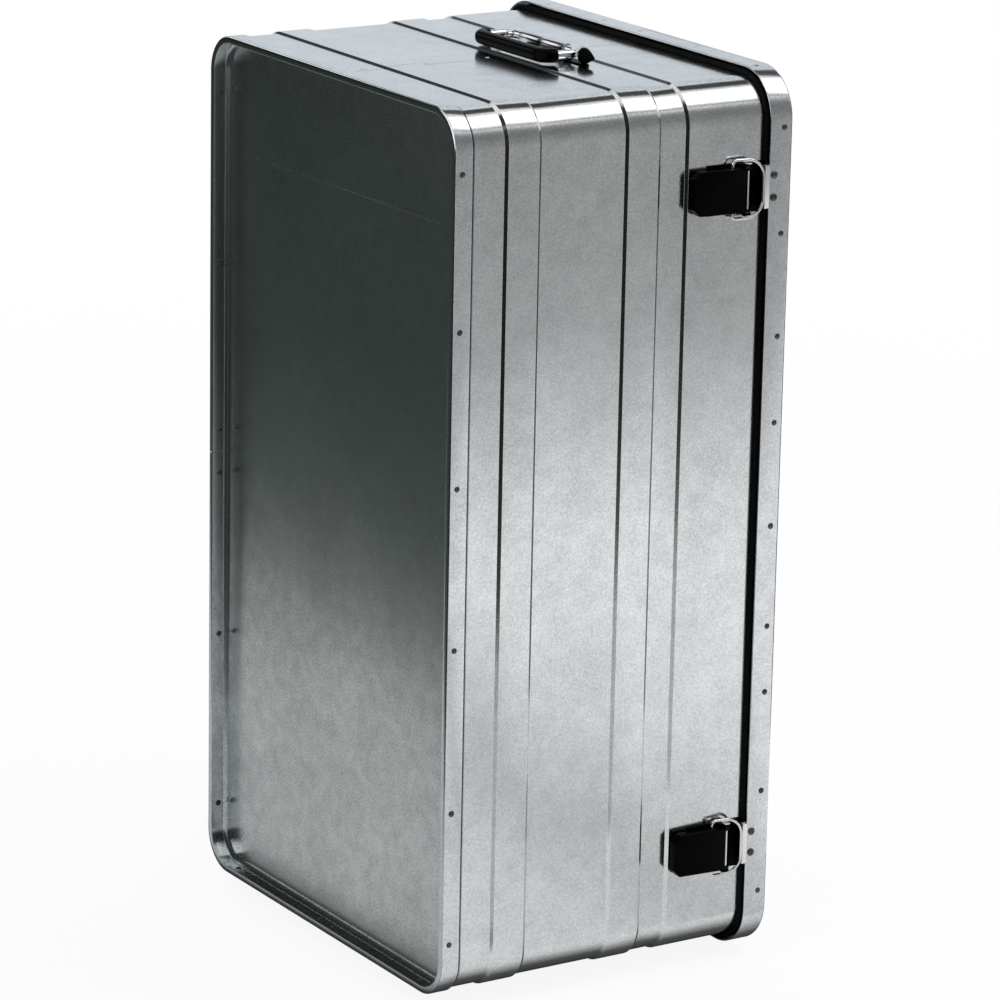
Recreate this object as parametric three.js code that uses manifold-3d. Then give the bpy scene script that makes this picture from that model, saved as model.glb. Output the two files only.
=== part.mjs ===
// Aluminium transport box with a hinged lid, two lever latches and two drop handles.
// Millimetres.  +Z runs from the base rim to the lid, X along the long side, and the latches face -Y.
import * as THREE from 'three';
import { mergeVertices } from 'three/addons/utils/BufferGeometryUtils.js';
import Module from 'manifold-3d';

const wasm = await Module();
wasm.setup();

// Overall sizes of the body, over its raised bands
const bodyLength = 800;
const bodyWidth = 427;
const wallTop = 324;         // the wall sheet's top edge, above the base rim
const cornerRadius = 36;

// Sheet metal and fits
const sheet = 1.2;
const fit = 0.3;             // clearance between pieces that touch
const overrun = 5;           // how far cutting shapes run past what they cut
const beadDepth = 2;         // step between low and raised bands
const beadRun = 3;           // height over which a step slopes

// Seam of the wall sheet, on the left end
const seamY = -9;
const seamGap = 0.6;
const seamStripWidth = 26;
const seamStripSheet = 1;

// Heights of the wall's bands, from the base rim to the seal.  The flat panel between the ribs takes what is left.
const frameBand = 18;        // covered by the base frame's outer leg
const lowBand = 34;
const ribBand = 34;
const upperRibBand = 34;
const upperLowBand = 28.5;
const latchBand = 79.5;

// Base frame and base panel
const frameSheet = 1.6;
const frameInnerLeg = 12.7;
const frameJointGap = 0.8;
const frameJointX = -4;      // the butt joint, on the back
const recessDepth = 16;      // from the base rim up to the base panel
const trayRadius = 2.5;
const edgeRadius = 1.2;      // rounding of folded profile edges

// Rim of the body
const sealBite = 8;          // height of wall inside the seal
const sealOuterLeg = 4;
const sealInnerLeg = 3;
const sealTop = 1.7;
const rimBandHeight = 25;
const rimBandSheet = 2;
const rimBandBelow = 3;      // from the rim band's top down to the seal

// Lid
const lidOverhang = 8;
const rimReveal = 2;         // from the seal's lower edge up to the skirt
const skirtHeight = 24;
const lidSheet = 1.6;
const shelfRise = 8.3;       // from the skirt's lower edge up to the shelf that presses on the seal
const shelfReach = 15;       // how far the shelf runs in from the skirt's outside
const topFlangeReach = 20;
const lidEdgeRadius = 3;
const fieldInset = 30;       // from the top flange's edge in to the raised field
const fieldRise = 1.5;
const fieldRun = 4;
const innerCorner = 12;      // least corner radius of the raised field
const lidJointX = 60;        // the lid frame's butt joint, on the back

// Hinges
const hingeFromEnd = 130;    // from each end of the body to the outer hinges' middles
const hingeWidth = 60;
const hingeSheet = 1.5;
const hingePinRadius = 1.8;
const hingeBoreClearance = 0.15;
const knuckleWall = 1.2;
const knuckleShare = [0.34, 0.66];   // where the lid leaf's knuckle starts and ends
const hingeDrop = 5;         // from the skirt's lower edge down to the hinge axis
const bodyLeafHeight = 40;
const lidLeafHeight = 20;
const hingePinHead = 1.2;
const hingeRivetRadius = 3.5;
const hingeRivetRise = 1.5;
const hingeRivetMargin = 8;

// Latches
const leftLatchFromEnd = 92.5;   // from the body's left end to the left latch's middle
const rightLatchFromEnd = 99.5;
const leverWidth = 39;
const leverWall = 2;
const leverLength = 56;      // from the pin's axis to the free end
const leverRise = 14.6;      // top face above the wall, at the pin
const leverFreeRise = 10.5;  // the same at the free end
const leverLift = 2.2;       // gap under the lever
const leverChamfer = 6;
const leverTopGap = 3.4;     // from the pin's axis to the top face's end
const leverHeel = 8;         // from the pin's axis down to where the side walls reach their full depth
const pivotBelowSkirt = 24;
const pivotRise = 9;
const eyeRadius = 4;
const leverPinRadius = 1.8;
const pinClearance = 0.1;
const pinHeadRadius = 3.9;
const pinHead = 1;
const plateSheet = 1.5;
const plateBelowSeal = 0.8;  // from the plate's top up to the seal
const plateHeight = 58;
const earGap = 1.4;          // between lever and ear
const earWidth = 15;
const bailWire = 3;
const bailSpread = 52;       // between the wire's arms
const bailPivotBelow = 14;   // from the lever's pin to the bail's pivot
const bailPivotRise = 6.6;
const bailCorner = 16;
const bailBend = 4;
const bailEndInset = 1;      // how far the wire's ends reach inside the lever's wall
const bailCrossbarRise = 9.6;
const catchWidth = 38;
const catchSheet = 1.5;
const catchDrop = 5.6;       // from the skirt's lower edge down to the catch's lip
const catchLipRise = 4.6;
const catchLipOut = 1.9;     // how far the lip stands out from the skirt
const catchRivetSpacing = 20;
const catchRivetAbove = 5;   // from the skirt's lower edge up to the rivets
const rivetShank = 2;
const rivetHead = 3.6;
const rivetRise = 1.6;
const domeShare = 0.86;      // of a rivet head's radius, half way up
const crownShare = 0.45;     // the same at the top

// Handles
const handleShift = -9.5;    // along the short end
const handleBarBelow = 98;   // from the seal's lower edge down to the hinge bar
const handleBarRise = 8;
const handleDrop = 36;       // from the hinge bar down to the grip's axis
const handleReach = 113;     // over the ring, between its wire's axes
const handleWire = 8;
const handleBend = 11;
const gripRadius = 6.5;
const gripRise = 11;         // from the grip's axis up to its two ends
const gripBoreClearance = 0.15;
const footSpan = 161;        // over both feet
const footGap = 1;           // between the feet, under the middle of the bar
const footWidth = 14;
const footTipLength = 17;
const footTipWidth = 5;
const footSheet = 1.6;
const capRadius = 7.3;       // of the round pointed cap beside the ring
const capDrop = 1.1;         // its axis lies this much nearer the wall than the bar's
const capLength = 4;         // before its taper
const capPoint = 1;          // radius at its point
const capNeck = 8;           // width of the web under it
const capGap = 1.5;          // from the ring's side to the cap
const strapWidth = 36;
const strapSheet = 1.2;
const strapClearance = 0.25;

// How finely round shapes are cut
const cornerSteps = 7;
const roundSides = 12;
const wireSides = 8;
const gripSides = 12;
const bendSteps = 4;
const foldSteps = 3;
const edgeSteps = 2;
const strapSteps = 8;

// Heights that follow from the bands
const lowBandTop = frameBand + lowBand;
const ribTop = lowBandTop + ribBand;
const sealEdge = wallTop - sealBite;
const upperLowTop = sealEdge - latchBand;
const upperRibTop = upperLowTop - upperLowBand;
const panelTop = upperRibTop - upperRibBand;
const handleBarHeight = sealEdge - handleBarBelow;
const skirtEdge = sealEdge + rimReveal;
const shelfUnder = skirtEdge + shelfRise;
const lidTop = skirtEdge + skirtHeight;
const frontFace = bodyWidth / 2;
const endFace = bodyLength / 2;
const latchPlaces = { left: leftLatchFromEnd - endFace, right: endFace - rightLatchFromEnd };
const hingeShifts = [hingeFromEnd - endFace, 0, endFace - hingeFromEnd];

// Finishes
const aluminium = { color: 0x9da0a2, roughness: 0.42, metalness: 0.9 };
const steel = { color: 0xc2c4c2, roughness: 0.28, metalness: 1 };
const blackPaint = { color: 0x161718, roughness: 0.45, metalness: 0.1 };
const rubber = { color: 0x101111, roughness: 0.8, metalness: 0 };

const box = new THREE.Group();

function addPiece(parent, name, geometry, finish) {
  const piece = new THREE.Mesh(geometry, new THREE.MeshStandardMaterial({ ...finish, flatShading: true }));
  piece.name = name;
  parent.add(piece);
  return piece;
}

// Mesh from points and triangles, with shared points merged
function meshFrom(points, triangles) {
  const geometry = new THREE.BufferGeometry();
  geometry.setAttribute('position', new THREE.Float32BufferAttribute(points.flat(), 3));
  geometry.setIndex(triangles.flat());
  return geometry;
}

function toSolid(geometry) {
  const plain = geometry.clone();
  plain.deleteAttribute('normal');
  plain.deleteAttribute('uv');
  const merged = mergeVertices(plain);
  return new wasm.Manifold(new wasm.Mesh({
    numProp: 3,
    vertProperties: new Float32Array(merged.attributes.position.array),
    triVerts: new Uint32Array(merged.index.array),
  }));
}

function fromSolid(solid) {
  const mesh = solid.getMesh();
  const geometry = new THREE.BufferGeometry();
  geometry.setAttribute('position', new THREE.BufferAttribute(new Float32Array(mesh.vertProperties), 3));
  geometry.setIndex(new THREE.BufferAttribute(new Uint32Array(mesh.triVerts), 1));
  return geometry;
}

function joined(...geometries) {
  return fromSolid(geometries.map(toSolid).reduce((whole, next) => whole.add(next)));
}

function cut(geometry, ...tools) {
  return fromSolid(tools.map(toSolid).reduce((left, tool) => left.subtract(tool), toSolid(geometry)));
}

function common(first, second) {
  return fromSolid(toSolid(first).intersect(toSolid(second)));
}

// Extrusions of an outline: alongX takes [y, z] points and alongY takes [z, x] points
function extrude(outline, from, to) {
  const shape = new THREE.Shape(outline.map(([a, b]) => new THREE.Vector2(a, b)));
  return new THREE.ExtrudeGeometry(shape, { depth: to - from, bevelEnabled: false }).translate(0, 0, from);
}

function alongX(outline, from, to) {
  const turn = new THREE.Matrix4().makeBasis(
    new THREE.Vector3(0, 1, 0), new THREE.Vector3(0, 0, 1), new THREE.Vector3(1, 0, 0));
  return extrude(outline, from, to).applyMatrix4(turn);
}

function alongY(outline, from, to) {
  const turn = new THREE.Matrix4().makeBasis(
    new THREE.Vector3(0, 0, 1), new THREE.Vector3(1, 0, 0), new THREE.Vector3(0, 1, 0));
  return extrude(outline, from, to).applyMatrix4(turn);
}

function rectangle(a0, a1, b0, b1) {
  return [[a0, b0], [a1, b0], [a1, b1], [a0, b1]];
}

function circle(a, b, radius, sides = roundSides) {
  return Array.from({ length: sides }, (_, i) => {
    const angle = (2 * Math.PI * i) / sides;
    return [a + radius * Math.cos(angle), b + radius * Math.sin(angle)];
  });
}

// Points of an arc in degrees, both ends included
function arc(a, b, radius, start, end, steps = bendSteps) {
  return Array.from({ length: steps + 1 }, (_, i) => {
    const angle = THREE.MathUtils.degToRad(start + ((end - start) * i) / steps);
    return [a + radius * Math.cos(angle), b + radius * Math.sin(angle)];
  });
}

// Rounded rectangle, anticlockwise from the back left corner
function roundedRing(halfX, halfY, radius, steps = cornerSteps) {
  const corners = [[-1, 1, 90], [-1, -1, 180], [1, -1, 270], [1, 1, 0]];
  return corners.flatMap(([sx, sy, start]) => (
    arc(sx * (halfX - radius), sy * (halfY - radius), radius, start, start + 90, steps)));
}

// The body's outline moved out (or in, below zero).  Far inside, its corners keep a small radius.
function bodyRing(out) {
  return roundedRing(endFace + out, frontFace + out, Math.max(cornerRadius + out, innerCorner));
}

// The same outline, open at a joint on the back or on the left end
function openRing(out, jointX, gap) {
  const y = frontFace + out;
  return [[jointX - gap / 2, y], ...bodyRing(out), [jointX + gap / 2, y]];
}

function openEndRing(out, jointY, gap) {
  const x = -endFace - out;
  const ring = bodyRing(out);
  const corner = cornerSteps + 1;
  return [[x, jointY - gap / 2], ...ring.slice(corner), ...ring.slice(0, corner), [x, jointY + gap / 2]];
}

// Sweeps a profile of [out, z] points round the ring that ringAt gives for each distance out.
// ends: 'loop' closes the ring, 'butt' caps both ends and 'pan' closes the profile's first and last rings.
function sweep(ringAt, profile, ends) {
  const rings = profile.map(([out, z]) => ringAt(out).map(([x, y]) => [x, y, z]));
  const count = profile.length;
  const steps = rings[0].length;
  const points = rings[0].flatMap((_, i) => rings.map((ring) => ring[i]));
  const triangles = [];
  const pathEnd = ends === 'butt' ? steps - 1 : steps;
  const profileEnd = ends === 'pan' ? count - 1 : count;
  for (let i = 0; i < pathEnd; i += 1) {
    const here = i * count;
    const next = ((i + 1) % steps) * count;
    for (let j = 0; j < profileEnd; j += 1) {
      const k = (j + 1) % count;
      triangles.push([here + j, next + j, next + k], [here + j, next + k, here + k]);
    }
  }
  if (ends === 'butt') {
    const faces = THREE.ShapeUtils.triangulateShape(profile.map(([a, b]) => new THREE.Vector2(a, b)), []);
    const last = (steps - 1) * count;
    for (const [a, b, c] of faces) {
      triangles.push([a, b, c], [last + a, last + c, last + b]);
    }
  }
  if (ends === 'pan') {
    for (let i = 1; i < steps - 1; i += 1) {
      triangles.push([0, (i + 1) * count, i * count]);
      triangles.push([count - 1, i * count + count - 1, (i + 1) * count + count - 1]);
    }
  }
  return outwards(meshFrom(points, triangles));
}

// Turns a closed mesh's faces out, if they point in
function outwards(geometry) {
  const place = geometry.attributes.position;
  const index = geometry.index.array;
  let volume = 0;
  for (let i = 0; i < index.length; i += 3) {
    const [a, b, c] = [0, 1, 2].map((k) => new THREE.Vector3().fromBufferAttribute(place, index[i + k]));
    volume += a.dot(b.cross(c));
  }
  if (volume < 0) {
    for (let i = 0; i < index.length; i += 3) {
      [index[i + 1], index[i + 2]] = [index[i + 2], index[i + 1]];
    }
  }
  return geometry;
}

// Round wire along a route that bends about the Y direction
function wire(points, radius) {
  const route = points.map(([x, y, z]) => new THREE.Vector3(x, y, z));
  const side = new THREE.Vector3(0, 1, 0);
  const rings = route.map((point, i) => {
    const before = route[Math.max(i - 1, 0)];
    const after = route[Math.min(i + 1, route.length - 1)];
    const tangent = after.clone().sub(before).normalize();
    const across = side.clone().cross(tangent).normalize();
    const up = tangent.clone().cross(across);
    return circle(0, 0, radius, wireSides).map(([a, b]) => {
      const place = point.clone().addScaledVector(across, a).addScaledVector(up, b);
      return [place.x, place.y, place.z];
    });
  });
  const triangles = [];
  for (let i = 0; i < rings.length - 1; i += 1) {
    for (let j = 0; j < wireSides; j += 1) {
      const k = (j + 1) % wireSides;
      const here = i * wireSides;
      const next = here + wireSides;
      triangles.push([here + j, next + j, next + k], [here + j, next + k, here + k]);
    }
  }
  const last = (rings.length - 1) * wireSides;
  for (let j = 1; j < wireSides - 1; j += 1) {
    triangles.push([0, j, j + 1], [last, last + j + 1, last + j]);
  }
  return outwards(meshFrom(rings.flat(), triangles));
}

// Round body about an axis along Y, from [radius, y] points that start and end on the axis
function turnedY(profile) {
  const points = profile.map(([radius, y]) => new THREE.Vector2(radius, y));
  return outwards(mergeVertices(stripped(new THREE.LatheGeometry(points, roundSides))));
}

function turnedX(profile) {
  return turnedY(profile).rotateZ(-Math.PI / 2);
}

function stripped(geometry) {
  geometry.deleteAttribute('normal');
  geometry.deleteAttribute('uv');
  return geometry;
}

// Domed rivet head standing on y = 0
function rivetDome(radius, rise) {
  const shoulder = [radius * domeShare, rise / 2];
  const crown = [radius * crownShare, rise];
  return turnedY([[0, -fit], [radius, -fit], [radius, 0], shoulder, crown, [0, rise]]);
}

// Line of the beaded wall from one height to another, moved out by a distance
function beadLine(from, to, out) {
  const low = -beadDepth;
  const steps = [[lowBandTop, 0], [ribTop, low], [panelTop, 0], [upperRibTop, low], [upperLowTop, 0]];
  const line = [[low, from]];
  let level = low;
  for (const [z, next] of steps) {
    line.push([level, z - beadRun / 2], [next, z + beadRun / 2]);
    level = next;
  }
  line.push([level, to]);
  return line.map(([a, z]) => [a + out, z]);
}

// The wall: one beaded sheet, open at its seam on the left end
function wallGeometry() {
  const foot = frameSheet + fit;
  const profile = [...beadLine(foot, wallTop, 0), ...beadLine(foot, wallTop, -sheet).reverse()];
  return sweep((out) => openEndRing(out, seamY, seamGap), profile, 'butt');
}

// Strip behind the wall's seam, between the base panel and the rim band
function seamStripGeometry() {
  const foot = recessDepth + sheet + fit;
  const top = sealEdge - rimBandBelow - rimBandHeight - fit;
  const back = -sheet - fit;
  const profile = [...beadLine(foot, top, back), ...beadLine(foot, top, back - seamStripSheet).reverse()];
  const half = seamStripWidth / 2;
  return sweep((out) => [[-endFace - out, seamY + half], [-endFace - out, seamY - half]], profile, 'butt');
}

// U-shaped frame round the bottom edge, open at its butt joint
function baseFrameGeometry() {
  const innerOut = -(beadDepth + sheet + fit + sheet + fit);
  const innerIn = innerOut - frameSheet;
  const profile = [
    ...arc(-edgeRadius, edgeRadius, edgeRadius, -90, 0, edgeSteps),
    [0, frameBand], [-frameSheet, frameBand], [-frameSheet, frameSheet], [innerOut, frameSheet],
    [innerOut, frameInnerLeg], [innerIn, frameInnerLeg],
    ...arc(innerIn + edgeRadius, edgeRadius, edgeRadius, 180, 270, edgeSteps),
  ];
  return sweep((out) => openRing(out, frameJointX, frameJointGap), profile, 'butt');
}

// Base panel: a tray with its flange turned down inside the wall
function basePanelGeometry() {
  const out = -(beadDepth + sheet + fit);
  const top = recessDepth + sheet;
  const bend = trayRadius + sheet;
  const outerBend = arc(out - bend, top - bend, bend, 90, 0, foldSteps);
  const innerBend = arc(out - bend, top - bend, trayRadius, 0, 90, foldSteps);
  const profile = [...outerBend, [out, frameSheet + fit], [out - sheet, frameSheet + fit], ...innerBend];
  return sweep(bodyRing, profile, 'pan');
}

// Flat stiffening band inside the top edge
function rimBandGeometry() {
  const out = -(sheet + fit);
  const top = sealEdge - rimBandBelow;
  return sweep(bodyRing, rectangle(out - rimBandSheet, out, top - rimBandHeight, top), 'loop');
}

// Rubber trim pushed on the wall's top edge
function rimSealGeometry() {
  const top = wallTop + fit + sealTop;
  const outside = fit + sealOuterLeg;
  const inside = -(sheet + fit) - sealInnerLeg;
  const profile = [
    [fit, sealEdge], [outside - edgeRadius, sealEdge], [outside, sealEdge + edgeRadius],
    [outside, top - edgeRadius], [outside - edgeRadius, top], [inside + edgeRadius, top],
    [inside, top - edgeRadius], [inside, sealEdge], [-(sheet + fit), sealEdge],
    [-(sheet + fit), wallTop + fit], [fit, wallTop + fit],
  ];
  return sweep(bodyRing, profile, 'loop');
}

addPiece(box, 'body_wall', wallGeometry(), aluminium);
addPiece(box, 'wall_seam_strip', seamStripGeometry(), aluminium);
addPiece(box, 'base_panel', basePanelGeometry(), aluminium);
addPiece(box, 'base_frame', baseFrameGeometry(), aluminium);
addPiece(box, 'rim_band', rimBandGeometry(), aluminium);
addPiece(box, 'rim_seal', rimSealGeometry(), rubber);

// Lid frame: skirt, shelf that presses on the seal, and a flange over the panel
function lidFrameGeometry() {
  const out = lidOverhang;
  const inside = out - lidSheet;
  const profile = [
    [inside, skirtEdge], [out, skirtEdge],
    ...arc(out - lidEdgeRadius, lidTop - lidEdgeRadius, lidEdgeRadius, 0, 90),
    [out - topFlangeReach, lidTop], [out - topFlangeReach, lidTop - lidSheet],
    [inside, lidTop - lidSheet], [inside, shelfUnder + lidSheet],
    [out - shelfReach, shelfUnder + lidSheet], [out - shelfReach, shelfUnder], [inside, shelfUnder],
  ];
  const frame = sweep((reach) => openRing(reach, lidJointX, frameJointGap), profile, 'butt');
  const height = skirtEdge + catchRivetAbove;
  const holes = Object.values(latchPlaces).flatMap((place) => [-1, 1].map((side) => {
    const x = place + (side * catchRivetSpacing) / 2;
    return alongY(
      circle(height, x, rivetShank + pinClearance), -(frontFace + out + overrun), -(frontFace + fit));
  }));
  return cut(frame, ...holes);
}

// Lid panel: a sheet pan with a raised field, its flange standing on the frame's shelf
function lidPanelGeometry() {
  const out = lidOverhang - lidSheet - fit;
  const top = lidTop - lidSheet - fit;
  const foot = shelfUnder + lidSheet + fit;
  const field = lidOverhang - topFlangeReach - fieldInset;
  const bend = trayRadius + sheet;
  const over = [
    [field - fieldRun, top + fieldRise], [field, top],
    ...arc(out - bend, top - bend, bend, 90, 0, foldSteps), [out, foot],
  ];
  const under = [
    [out - sheet, foot], ...arc(out - bend, top - bend, trayRadius, 0, 90, foldSteps),
    [field, top - sheet], [field - fieldRun, top + fieldRise - sheet],
  ];
  return sweep(bodyRing, [...over, ...under], 'pan');
}

addPiece(box, 'lid_frame', lidFrameGeometry(), aluminium);
addPiece(box, 'lid_panel', lidPanelGeometry(), aluminium);

// Hinges on the back.  In a hinge's own frame Y is the distance out from the wall and Z the height.
const knuckleRadius = hingePinRadius + hingeBoreClearance + knuckleWall;
const hingeAxisOut = lidOverhang + fit + knuckleRadius;
const hingeAxisHeight = skirtEdge - hingeDrop;
const knuckleStart = -hingeWidth / 2 + hingeWidth * knuckleShare[0];
const knuckleEnd = -hingeWidth / 2 + hingeWidth * knuckleShare[1];
const hingeBore = circle(hingeAxisOut, hingeAxisHeight, hingePinRadius + hingeBoreClearance);

function hingeRivets(heights, shifts, out) {
  const head = () => rivetDome(hingeRivetRadius, hingeRivetRise);
  return heights.flatMap((z) => shifts.map((x) => head().translate(x, out, z)));
}

function bodyLeafGeometry() {
  const inner = fit;
  const outer = inner + hingeSheet;
  const top = hingeAxisHeight - knuckleRadius;
  const bottom = top - bodyLeafHeight;
  const half = hingeWidth / 2;
  const bendFoot = top - (hingeAxisOut - outer);
  const blank = [
    [inner, bottom], [outer, bottom], [outer, bendFoot], [hingeAxisOut, top], [hingeAxisOut, hingeAxisHeight],
    [hingeAxisOut - knuckleRadius, hingeAxisHeight], [hingeAxisOut - knuckleRadius, top],
    [inner, bendFoot + hingeSheet / 2],
  ];
  const leaf = alongX(blank, -half, half);
  const knuckle = alongX(circle(hingeAxisOut, hingeAxisHeight, knuckleRadius), -half, half);
  const bore = alongX(hingeBore, -half - overrun, half + overrun);
  const reach = knuckleRadius + fit;
  const past = reach + overrun;
  const slot = alongX(
    rectangle(hingeAxisOut - reach, hingeAxisOut + past, hingeAxisHeight - reach, hingeAxisHeight + past),
    knuckleStart - fit, knuckleEnd + fit);
  const shift = half - hingeRivetMargin;
  const rivets = hingeRivets([bottom + hingeRivetMargin, bendFoot - hingeRivetMargin], [-shift, shift], outer);
  return cut(joined(leaf, knuckle, ...rivets), bore, slot);
}

function lidLeafGeometry() {
  const inner = lidOverhang + fit;
  const outer = inner + hingeSheet;
  const half = hingeWidth / 2;
  const foot = skirtEdge;
  const plate = alongX(rectangle(inner, outer, foot, foot + lidLeafHeight), -half, half);
  const neck = alongX(rectangle(inner, outer, hingeAxisHeight, foot + hingeSheet), knuckleStart, knuckleEnd);
  const knuckle = alongX(circle(hingeAxisOut, hingeAxisHeight, knuckleRadius), knuckleStart, knuckleEnd);
  const bore = alongX(hingeBore, -half, half);
  const shift = half - hingeRivetMargin;
  const rivets = hingeRivets([foot + lidLeafHeight / 2], [-shift, 0, shift], outer);
  return cut(joined(plate, neck, knuckle, ...rivets), bore);
}

function hingePinGeometry() {
  const end = hingeWidth / 2 + fit;
  const head = knuckleRadius - hingeBoreClearance;
  return turnedX([
    [0, -end - hingePinHead], [head, -end - hingePinHead], [head, -end], [hingePinRadius, -end],
    [hingePinRadius, end], [head, end], [head, end + hingePinHead], [0, end + hingePinHead],
  ]).translate(0, hingeAxisOut, hingeAxisHeight);
}

for (const [place, shift] of hingeShifts.entries()) {
  const hinge = new THREE.Group();
  hinge.position.set(shift, frontFace, 0);
  addPiece(hinge, `hinge_${place + 1}_body_leaf`, bodyLeafGeometry(), steel);
  addPiece(hinge, `hinge_${place + 1}_lid_leaf`, lidLeafGeometry(), steel);
  addPiece(hinge, `hinge_${place + 1}_pin`, hingePinGeometry(), steel);
  box.add(hinge);
}

// Latches on the front.  In a latch's own frame X runs across it and Y is the distance out from the wall.
const pivotHeight = skirtEdge - pivotBelowSkirt;
const bailPivotHeight = pivotHeight - bailPivotBelow;
const halfLever = leverWidth / 2;
const leverFree = pivotHeight - leverLength;
const earInside = halfLever + earGap;

function leverGeometry() {
  const topEnd = pivotHeight - leverTopGap;
  const outline = [
    [leverLift, leverFree], [leverFreeRise, leverFree], [leverRise, topEnd],
    ...arc(pivotRise, pivotHeight, eyeRadius, 30, 210), [leverLift, pivotHeight - leverHeel],
  ];
  const top = pivotHeight + eyeRadius + overrun;
  const plan = (inset) => {
    const half = halfLever - inset;
    const free = leverFree + inset;
    const nip = leverChamfer - inset / 2;
    const corners = [
      [free, -half + nip], [free + nip, -half], [top, -half], [top, half], [free + nip, half], [free, half - nip],
    ];
    return alongY(corners, leverLift - overrun, leverRise + overrun);
  };
  const shell = common(alongX(outline, -halfLever, halfLever), plan(0));
  const under = [
    [leverLift - overrun, leverFree + leverWall], [leverFreeRise - leverWall, leverFree + leverWall],
    [leverRise - leverWall, topEnd], [leverRise + overrun, topEnd], [leverRise + overrun, top],
    [leverLift - overrun, top],
  ];
  const inside = halfLever - leverWall;
  const hollow = common(alongX(under, -inside, inside), plan(leverWall));
  const past = halfLever + overrun;
  const pinBore = alongX(circle(pivotRise, pivotHeight, leverPinRadius + pinClearance), -past, past);
  const bailBore = alongX(circle(bailPivotRise, bailPivotHeight, bailWire / 2 + fit), -past, past);
  return cut(shell, hollow, pinBore, bailBore);
}

function latchPlateGeometry() {
  const half = earInside + plateSheet;
  const inner = fit;
  const outer = inner + plateSheet;
  const top = sealEdge - plateBelowSeal;
  const plate = alongY(rectangle(top - plateHeight, top, -half, half), inner, outer);
  const earOutline = [
    [inner, pivotHeight - earWidth / 2], [pivotRise, pivotHeight - eyeRadius],
    ...arc(pivotRise, pivotHeight, eyeRadius, -90, 90), [inner, pivotHeight + earWidth / 2],
  ];
  const ears = [[-half, -earInside], [earInside, half]].map(([from, to]) => alongX(earOutline, from, to));
  const past = half + overrun;
  const bore = alongX(circle(pivotRise, pivotHeight, leverPinRadius + pinClearance), -past, past);
  return cut(joined(plate, ...ears), bore);
}

function leverPinGeometry() {
  const end = earInside + plateSheet + fit;
  return turnedX([
    [0, -end - pinHead], [pinHeadRadius, -end - pinHead], [pinHeadRadius, -end], [leverPinRadius, -end],
    [leverPinRadius, end], [pinHeadRadius, end], [pinHeadRadius, end + pinHead], [0, end + pinHead],
  ]).translate(0, pivotRise, pivotHeight);
}

// Wire loop: both ends turn in to the lever's sides, and the crossbar lies just below the catch's lip
const crossbarHeight = skirtEdge - catchDrop - fit - bailWire / 2;

function bailGeometry() {
  const halfSpread = bailSpread / 2;
  const endX = halfLever - leverWall - bailEndInset;
  const lowBend = arc(halfSpread - bailBend, bailPivotHeight + bailBend, bailBend, -90, 0);
  const topBend = arc(halfSpread - bailCorner, crossbarHeight - bailCorner, bailCorner, 0, 90);
  const half = [[endX, bailPivotHeight], ...lowBend, ...topBend];
  const flat = [...half, ...half.map(([x, z]) => [-x, z]).reverse()];
  const slope = (bailCrossbarRise - bailPivotRise) / (crossbarHeight - bailPivotHeight);
  const route = flat.map(([x, z]) => [x, bailPivotRise + (z - bailPivotHeight) * slope, z]);
  return wire(route, bailWire / 2);
}

// Catch behind the skirt, with a lip that turns out and up below the skirt's edge
function catchGeometry() {
  const back = lidOverhang - lidSheet - fit;
  const front = back - catchSheet;
  const foot = skirtEdge - catchDrop;
  const lip = lidOverhang + catchLipOut;
  const outline = [
    [front, foot], [lip, foot], [lip, foot + catchLipRise], [lip - catchSheet, foot + catchLipRise],
    [lip - catchSheet, foot + catchSheet], [back, foot + catchSheet],
    [back, shelfUnder - fit], [front, shelfUnder - fit],
  ];
  const plate = alongX(outline, -catchWidth / 2, catchWidth / 2);
  const holes = [-1, 1].map((side) => alongY(
    circle(skirtEdge + catchRivetAbove, (side * catchRivetSpacing) / 2, rivetShank + pinClearance),
    front - overrun, back + fit));
  return cut(plate, ...holes);
}

// Catch rivet, flush behind and domed in front
function catchRivetGeometry() {
  const back = lidOverhang - lidSheet - fit - catchSheet;
  const face = lidOverhang + fit;
  const top = face + rivetRise;
  return turnedY([
    [0, back], [rivetShank, back], [rivetShank, face], [rivetHead, face],
    [rivetHead * domeShare, face + rivetRise / 2], [rivetHead * crownShare, top], [0, top],
  ]);
}

for (const [side, place] of Object.entries(latchPlaces)) {
  const latch = new THREE.Group();
  latch.position.set(place, -frontFace, 0);
  latch.rotation.z = Math.PI;
  addPiece(latch, `latch_${side}_plate`, latchPlateGeometry(), blackPaint);
  addPiece(latch, `latch_${side}_lever`, leverGeometry(), blackPaint);
  addPiece(latch, `latch_${side}_pin`, leverPinGeometry(), steel);
  addPiece(latch, `latch_${side}_bail`, bailGeometry(), steel);
  addPiece(latch, `latch_${side}_catch`, catchGeometry(), steel);
  for (const [number, turn] of [[1, 1], [2, -1]]) {
    const rivet = addPiece(latch, `latch_${side}_catch_rivet_${number}`, catchRivetGeometry(), steel);
    rivet.position.set((turn * catchRivetSpacing) / 2, 0, skirtEdge + catchRivetAbove);
  }
  box.add(latch);
}

// Handles on the short ends.  In a handle's own frame X runs along it and Y is the distance out from the wall.
function ringTube(radius, sides = wireSides) {
  const section = circle(0, 0, radius, sides);
  const ringAt = (out) => roundedRing(handleReach / 2 + out, handleDrop / 2 + out, handleBend + out, bendSteps);
  const ring = sweep(ringAt, section, 'loop');
  return ring.rotateX(Math.PI / 2).translate(0, handleBarRise, handleBarHeight - handleDrop / 2);
}

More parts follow.
